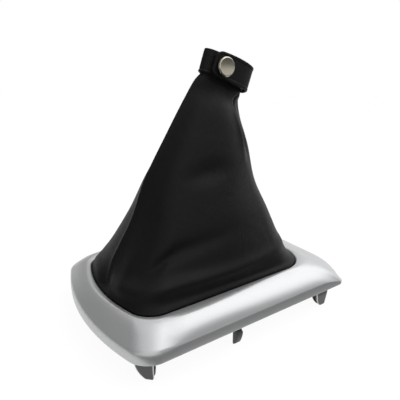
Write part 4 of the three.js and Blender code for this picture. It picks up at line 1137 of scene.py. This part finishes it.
def fin_outline(width, top, tip, trim):
    """Upright on one side, bowed on the other, with a round tip: two curves drawn towards a corner."""
    right, left = width / 2 - trim, trim - width / 2
    t = np.linspace(0, 1, CURVE_POINTS)[:, None]
    foot = np.array([right - FIN_TIP_IN, tip])
    edge = right - FIN_TAPER
    tip_curve = quadratic(np.array([edge, tip + FIN_TIP_RISE]), np.array([edge, tip]), foot, t)
    belly = np.array([left + FIN_BOW_IN, tip + FIN_TIP_RISE])
    bow = quadratic(foot, belly, np.array([left, tip + FIN_BOW_RISE]), t)
    return np.concatenate([[[left, top], [right, top]], tip_curve, bow[1:]])


print("a fin's outline has", len(fin_outline(BLADE_WIDTH, OPENING_Z, 0.0, 0.0)), "points")

# %% Fins, hooks and bosses
def fins():
    """Four plates in the fin's outline, each a little smaller than the clip over it."""
    line = fin_outline(BLADE_WIDTH, OPENING_Z, CLIP_SHEET + 2 * GAP, BLADE_TRIM)
    p, faces = slab(line, BLADE_THICKNESS)
    return [(placed(p[..., [0, 2, 1]], spot), faces) for spot in clip_spots().values()]


def hooks():
    """Two plates: a curve round the nose, a curve out to the barb, and a square shoulder over it."""
    barb, shoulder = HOOK_DEPTH + HOOK_BARB, RIM_LIFT - CONSOLE_EDGE
    t = np.linspace(0, 1, 9)[:, None]
    nose = quadratic(np.array([0, HOOK_NOSE]), np.array([0, 0]), np.array([HOOK_NOSE, 0]), t)
    heel = np.array([HOOK_DEPTH - HOOK_NOSE / 2, HOOK_NOSE])
    belly = quadratic(heel, np.array([barb, shoulder / 2]), np.array([barb, shoulder - HOOK_BARB]), t)
    back = [[HOOK_DEPTH, shoulder], [HOOK_DEPTH, OPENING_Z]]
    line = np.concatenate([[[0, OPENING_Z]], nose, belly, back])
    p, faces = slab(line, HOOK_WIDTH)
    out = RIM_HALF - BLADE_INSET - HOOK_DEPTH / 2 + p[..., 0]
    return [(np.stack([HOOK_X + p[..., 2], side * out, p[..., 1]], -1), faces) for side in (-1, 1)]


def bosses():
    """Six turned posts, each with a pilot hole a little longer than its screw."""
    bottom, pilot = OPENING_Z - LIP_DEPTH, SHANK_RADIUS + GAP
    hole_end = bottom + SCREW_BITE + GAP
    boss = turned([
        (0, hole_end), (pilot, hole_end), (pilot, bottom),
        (BOSS_RADIUS, bottom), (BOSS_RADIUS, OPENING_Z), (0, OPENING_Z),
    ], [0, 0.1, 0.3, 0.4, 0, 0], TURN_STEPS // 2)
    faces = grid_faces(boss.shape[0], boss.shape[1], True, False)
    return [(boss + np.array([x, y, 0]), faces) for x, y in screw_spots]


def bezel_posts():
    """All of them in one piece, with no point higher than the middle of the bezel's wall over it."""
    cut = []
    for p, faces in fins() + hooks() + bosses():
        p = p.reshape(-1, 3).copy()
        p[:, 2] = np.minimum(p[:, 2], wall_middle(p))
        cut.append((p, faces))
    return gathered("bezel_posts", cut)


finish_piece(bezel_posts(), PLASTIC, "black_plastic", "bezel")

# %% [markdown]
# A spring clip is a strip of steel folded over its fin, cut to the fin's outline, with both leaves bent
# out to grip the console's edge. It is a ribbon: the fold's line in the thickness direction, and across
# it a width that is read off the fin's outline at each height.

# %% Spring clips
CLIP_BENDS = [0, 2.2, 1.2, 1.4, 1.4, 1.2, 2.2, 0]
CLIP_ROWS = 90
CLIP_ACROSS = np.array([0, 0.03, 0.08, 0.3, 0.5, 0.7, 0.92, 0.97, 1])
# Share of a clip's width at each cut edge that gets the lighter tone, a painted highlight.
HIGHLIGHT_EDGE_SHARE = 0.07


def spring_clip(name, spot):
    """Ribbon points: line(u) +- half the sheet along its normal, and width from left(z) to right(z)."""
    middle = BLADE_THICKNESS / 2 + GAP + CLIP_SHEET / 2
    top, kink, low = RIM_LIFT + CLIP_ABOVE_RIM, RIM_LIFT - CLIP_KINK_DROP, CLIP_SHEET / 2
    leaf = np.array([(middle, top), (middle + CLIP_FLARE, kink), (middle, CLIP_FOLD + 1), (middle, low)])
    corners = np.concatenate([leaf, (leaf * [-1, 1])[::-1]])
    bent = filleted(corners[:, None, :], CLIP_BENDS)[:, 0]
    way = np.concatenate([[0], np.cumsum(np.linalg.norm(np.diff(bent, axis=0), axis=1))])
    even = np.linspace(0, way[-1], CLIP_ROWS)
    line = np.stack([np.interp(even, way, bent[:, k]) for k in (0, 1)], -1)
    t = unit(np.gradient(line, axis=0))
    normal = np.stack([-t[:, 1], t[:, 0]], -1)
    fin = fin_outline(BLADE_WIDTH, top + 1, 0.0, 0.0)
    right, left = fin[1:CURVE_POINTS + 1], np.concatenate([fin[CURVE_POINTS + 1:], fin[:1]])
    z = np.maximum(line[:, 1], low)
    reach = [np.interp(z, *(side[np.argsort(side[:, 1])].T[[1, 0]])) for side in (left, right)]
    width = reach[0][:, None] + (reach[1] - reach[0])[:, None] * CLIP_ACROSS
    sheets = []
    for half in (CLIP_SHEET / 2, -CLIP_SHEET / 2):
        p = line + normal * half
        sheets.append(np.stack([width, p[:, :1] + 0 * width, p[:, 1:] + 0 * width], -1))
    piece = sheet_solid(name, placed(sheets[0], spot), placed(sheets[1], spot))
    # A lighter tone along both cut edges: a painted highlight.
    painted_highlight = 1 - smooth(np.minimum(CLIP_ACROSS, 1 - CLIP_ACROSS) / HIGHLIGHT_EDGE_SHARE)
    return marked(piece, "edge", np.tile(np.concatenate([painted_highlight, painted_highlight[::-1]]), len(line)))


for place, spot in clip_spots().items():
    finish_piece(spring_clip("spring_clip_" + place, spot), SPRING_STEEL, "spring_steel", "clip_" + place)


# %% [markdown]
# The boot's edge is clamped between the bezel's lip and a retainer ring of black plastic, held from
# below by six pan-head screws. The ring is one section carried round the opening, with eased corners.
# Its section never changes, so a curve with a bevel profile would serve as well, but this way it takes
# its line from the very stations that the boot and the bezel have.

# %% Retainer
RETAINER_EASED = [0.5, 0.5, 0.2, 0.5, 0.5, 0.7]


def retainer_ring():
    """Each section point is the opening's edge moved along its normal by a distance, at a height."""
    top = OPENING_Z - LIP_DEPTH - GAP
    back = -(BOOT_CLEARANCE + LEATHER + GAP)
    levels = np.array([
        (RETAINER_REACH, top - RETAINER_FLANGE), (RETAINER_REACH, top), (back, top),
        (back, top + RETAINER_WALL_RISE), (back - RETAINER_WALL, top + RETAINER_WALL_RISE),
        (back - RETAINER_WALL, top - RETAINER_FLANGE),
    ], float)
    line = filleted(levels[:, None, :], RETAINER_EASED)[:, 0]
    plan = inner_edge[:, None] + edge_normal[:, None] * line[None, :, :1]
    height = line[None, :, 1:] + 0 * plan[..., :1]
    return closed_grid("retainer_ring", np.concatenate([plan, height], -1))


finish_piece(retainer_ring(), PLASTIC, "black_plastic", "retainer")

# %% [markdown]
# A pan-head screw's recess could be cut with a Boolean, which leaves ragged faces on a round head. Here
# the head's face is a fine polar grid, and its points are pressed in where the cross is. The thread is
# hidden in its boss, so the shank is plain.

# %% Screws
RECESS_REACH, RECESS_ARM, RECESS_DEPTH = 1.75, 0.42, 1.1
ARM_SOFT, REACH_SOFT = 0.12, 0.4
HEAD_CHAMFER, HEAD_SIDE, HEAD_RINGS = (0.3, 0.5), 0.9, 14


def pan_screw(name, x, y):
    """A spun profile whose head face is pressed in by a cross: deep where the nearer axis is close."""
    under = OPENING_Z - LIP_DEPTH - 2 * GAP - RETAINER_FLANGE
    end = OPENING_Z - LIP_DEPTH + SCREW_BITE
    top = under - HEAD_HEIGHT
    face = [(r, top) for r in np.linspace(0, HEAD_RADIUS - 1, HEAD_RINGS)]
    side = [
        (HEAD_RADIUS - HEAD_CHAMFER[0], top + HEAD_CHAMFER[1]), (HEAD_RADIUS, under - HEAD_SIDE),
        (HEAD_RADIUS, under), (SHANK_RADIUS, under), (SHANK_RADIUS, end - SHANK_RADIUS), (0, end),
    ]
    grid = turned(face + side, [0] * HEAD_RINGS + [0.3, 0.3, 0.2, 0.1, 0.2, 0], 64)
    px, py = np.abs(grid[:, :HEAD_RINGS, 0]), np.abs(grid[:, :HEAD_RINGS, 1])
    arms = smooth((RECESS_ARM + ARM_SOFT - np.minimum(px, py)) / (2 * ARM_SOFT))
    disc = smooth((RECESS_REACH - np.hypot(px, py)) / REACH_SOFT)
    grid[:, :HEAD_RINGS, 2] += RECESS_DEPTH * (arms * disc)
    faces = grid_faces(grid.shape[0], grid.shape[1], True, False)
    return gathered(name, [(grid + np.array([x, y, 0]), faces)])


for count, (x, y) in enumerate(screw_spots, 1):
    finish_piece(pan_screw(f"pan_screw_{count}", x, y), ZINC, "zinc", f"retainer_screw_{count}")


# %% [markdown]
# The photograph has a white ground with no line behind the object and next to no shadow. More light would
# bleach the silver, so the white comes from what the rays ask for: a ray from the camera, from a mirror or
# through glass sees white, and the light that spreads sees a plain lit floor and a half-bright world. A
# tenth of the lit floor is mixed in, and with it the object's shadow, so the white is a little over 1.

# %% Floor and world
FLOOR_GREY, FLOOR_WHITE, FLOOR_WHITE_SHARE, WORLD_LIGHT = 0.95, 1.05, 0.9, 0.5


def seen_directly(tree):
    """1 for rays from the camera, from mirrors and through glass: the largest of the three."""
    path = tree.nodes.new("ShaderNodeLightPath")
    first = node(tree, "ShaderNodeMath", operation="MAXIMUM")
    second = node(tree, "ShaderNodeMath", operation="MAXIMUM")
    tree.links.new(path.outputs["Is Camera Ray"], first.inputs[0])
    tree.links.new(path.outputs["Is Glossy Ray"], first.inputs[1])
    tree.links.new(first.outputs[0], second.inputs[0])
    tree.links.new(path.outputs["Is Transmission Ray"], second.inputs[1])
    return second.outputs[0]


def floor_material():
    """Lit floor mixed with white: for rays that see it directly, the white's share of the mix."""
    grey = (FLOOR_GREY, FLOOR_GREY, FLOOR_GREY, 1)
    material, tree, shader = new_material("floor", Base_Color=grey, Roughness=0.8)
    share = node(tree, "ShaderNodeMath", operation="MULTIPLY")
    share.inputs[1].default_value = FLOOR_WHITE_SHARE
    white = node(tree, "ShaderNodeEmission", in_Color=(1, 1, 1, 1), in_Strength=FLOOR_WHITE)
    mix = tree.nodes.new("ShaderNodeMixShader")
    tree.links.new(seen_directly(tree), share.inputs[0])
    tree.links.new(share.outputs[0], mix.inputs["Fac"])
    tree.links.new(shader.outputs["BSDF"], mix.inputs[1])
    tree.links.new(white.outputs["Emission"], mix.inputs[2])
    tree.links.new(mix.outputs["Shader"], tree.nodes["Material Output"].inputs["Surface"])
    return material


def flat_card(name, centre, size, rotation, material):
    """A plain rectangle for the stage."""
    w, h = size[0] / 2, size[1] / 2
    mesh = bpy.data.meshes.new(name)
    mesh.from_pydata([(-w, -h, 0), (w, -h, 0), (w, h, 0), (-w, h, 0)], [], [(0, 1, 2, 3)])
    card = bpy.data.objects.new(name, mesh)
    card.location, card.rotation_euler = centre, rotation
    mesh.materials.append(material)
    bpy.context.scene.collection.objects.link(card)
    return card


def world_light():
    """Plain even light, and white for the rays that see it directly."""
    world = bpy.data.worlds.new("studio")
    bpy.context.scene.world = world
    world.use_nodes = True
    tree = world.node_tree
    sky = tree.nodes["Background"]
    sky.inputs["Color"].default_value = (1, 1, 1, 1)
    sky.inputs["Strength"].default_value = WORLD_LIGHT
    white = node(tree, "ShaderNodeBackground", in_Color=(1, 1, 1, 1), in_Strength=1.0)
    mix = tree.nodes.new("ShaderNodeMixShader")
    tree.links.new(seen_directly(tree), mix.inputs["Fac"])
    tree.links.new(sky.outputs["Background"], mix.inputs[1])
    tree.links.new(white.outputs["Background"], mix.inputs[2])
    tree.links.new(mix.outputs["Shader"], tree.nodes["World Output"].inputs["Surface"])
    return world


floor = flat_card("floor", (0, 0, 0), (12, 12), (0, 0, 0), floor_material())
print("stage:", floor.name, "and", world_light().name)

# %% [markdown]
# Silver paint looks like what it mirrors, and in an all-white room it looks white. A photographer hangs
# grey cards round such a piece. These do the same: each is a plain glow that only mirrors see, darker
# than the room, and one large soft lamp from the upper right gives the shading.

# %% Cards and lamp
def studio_card(name, place, size, grey, up=False):
    """A grey card that only mirrors see: it gives the silver paint something to reflect."""
    material = bpy.data.materials.new(name)
    material.use_nodes = True
    tree = material.node_tree
    tree.nodes.remove(tree.nodes["Principled BSDF"])
    glow = node(tree, "ShaderNodeEmission", in_Color=(grey, grey, grey, 1), in_Strength=1.0)
    tree.links.new(glow.outputs["Emission"], tree.nodes["Material Output"].inputs["Surface"])
    turn = (0, 0, 0) if up else (-Vector(place)).to_track_quat("-Z", "Y").to_euler()
    card = flat_card(name, place, size, turn, material)
    card.visible_camera = card.visible_diffuse = card.visible_shadow = card.visible_transmission = False
    return card


studio_card("card_behind", (-0.1, 1.2, 0.36), (2.2, 0.66), 0.42)
studio_card("card_in_front", (0.1, -0.49, 0.002), (1.6, 0.82), 0.05, up=True)
studio_card("card_front_right", (0.72, -0.95, 0.5), (1.7, 0.62), 0.12)
studio_card("card_left", (-0.9, 0.5, 0.6), (2.4, 1.5), 0.3)
studio_card("card_left_below", (-0.7, 0.4, 0.002), (1.1, 1.8), 0.25, up=True)


def softbox(name, place, target, size, power):
    """An area lamp at a place, turned to a target."""
    lamp = bpy.data.lights.new(name, "AREA")
    lamp.shape, lamp.size, lamp.size_y = "RECTANGLE", size[0], size[1]
    lamp.energy = power
    holder = bpy.data.objects.new(name, lamp)
    bpy.context.scene.collection.objects.link(holder)
    holder.location = place
    holder.rotation_euler = (Vector(target) - Vector(place)).to_track_quat("-Z", "Y").to_euler()
    return holder


lamp = softbox("overhead", (0.66, -0.3, 1.02), (0, 0, 0.05), (1.6, 1.5), 9.5)
print("lamp:", lamp.name, lamp.data.energy, "W")

# %% [markdown]
# The camera's place, turn and lens were fitted by least squares to points of the opening's edge and the
# bezel's creases in the photograph, so that the render can be laid over it.

# %% Camera
CAMERA_PLACE, CAMERA_PITCH, CAMERA_HEADING = (-0.15116, -0.23029, 0.16996), 72.33, -33.53
CAMERA_LENS, SENSOR_WIDTH, NEAREST = 34.05, 36, 0.01
camera = bpy.data.objects.new("camera", bpy.data.cameras.new("camera"))
bpy.context.scene.collection.objects.link(camera)
camera.location = CAMERA_PLACE
camera.rotation_euler = (math.radians(CAMERA_PITCH), 0, math.radians(CAMERA_HEADING))
camera.data.lens = CAMERA_LENS
camera.data.sensor_width = SENSOR_WIDTH
camera.data.clip_start = NEAREST
bpy.context.scene.camera = camera
bpy.context.scene.view_settings.view_transform = "Standard"
print("camera at", [round(c / MM) for c in CAMERA_PLACE], "mm, lens", CAMERA_LENS, "mm")
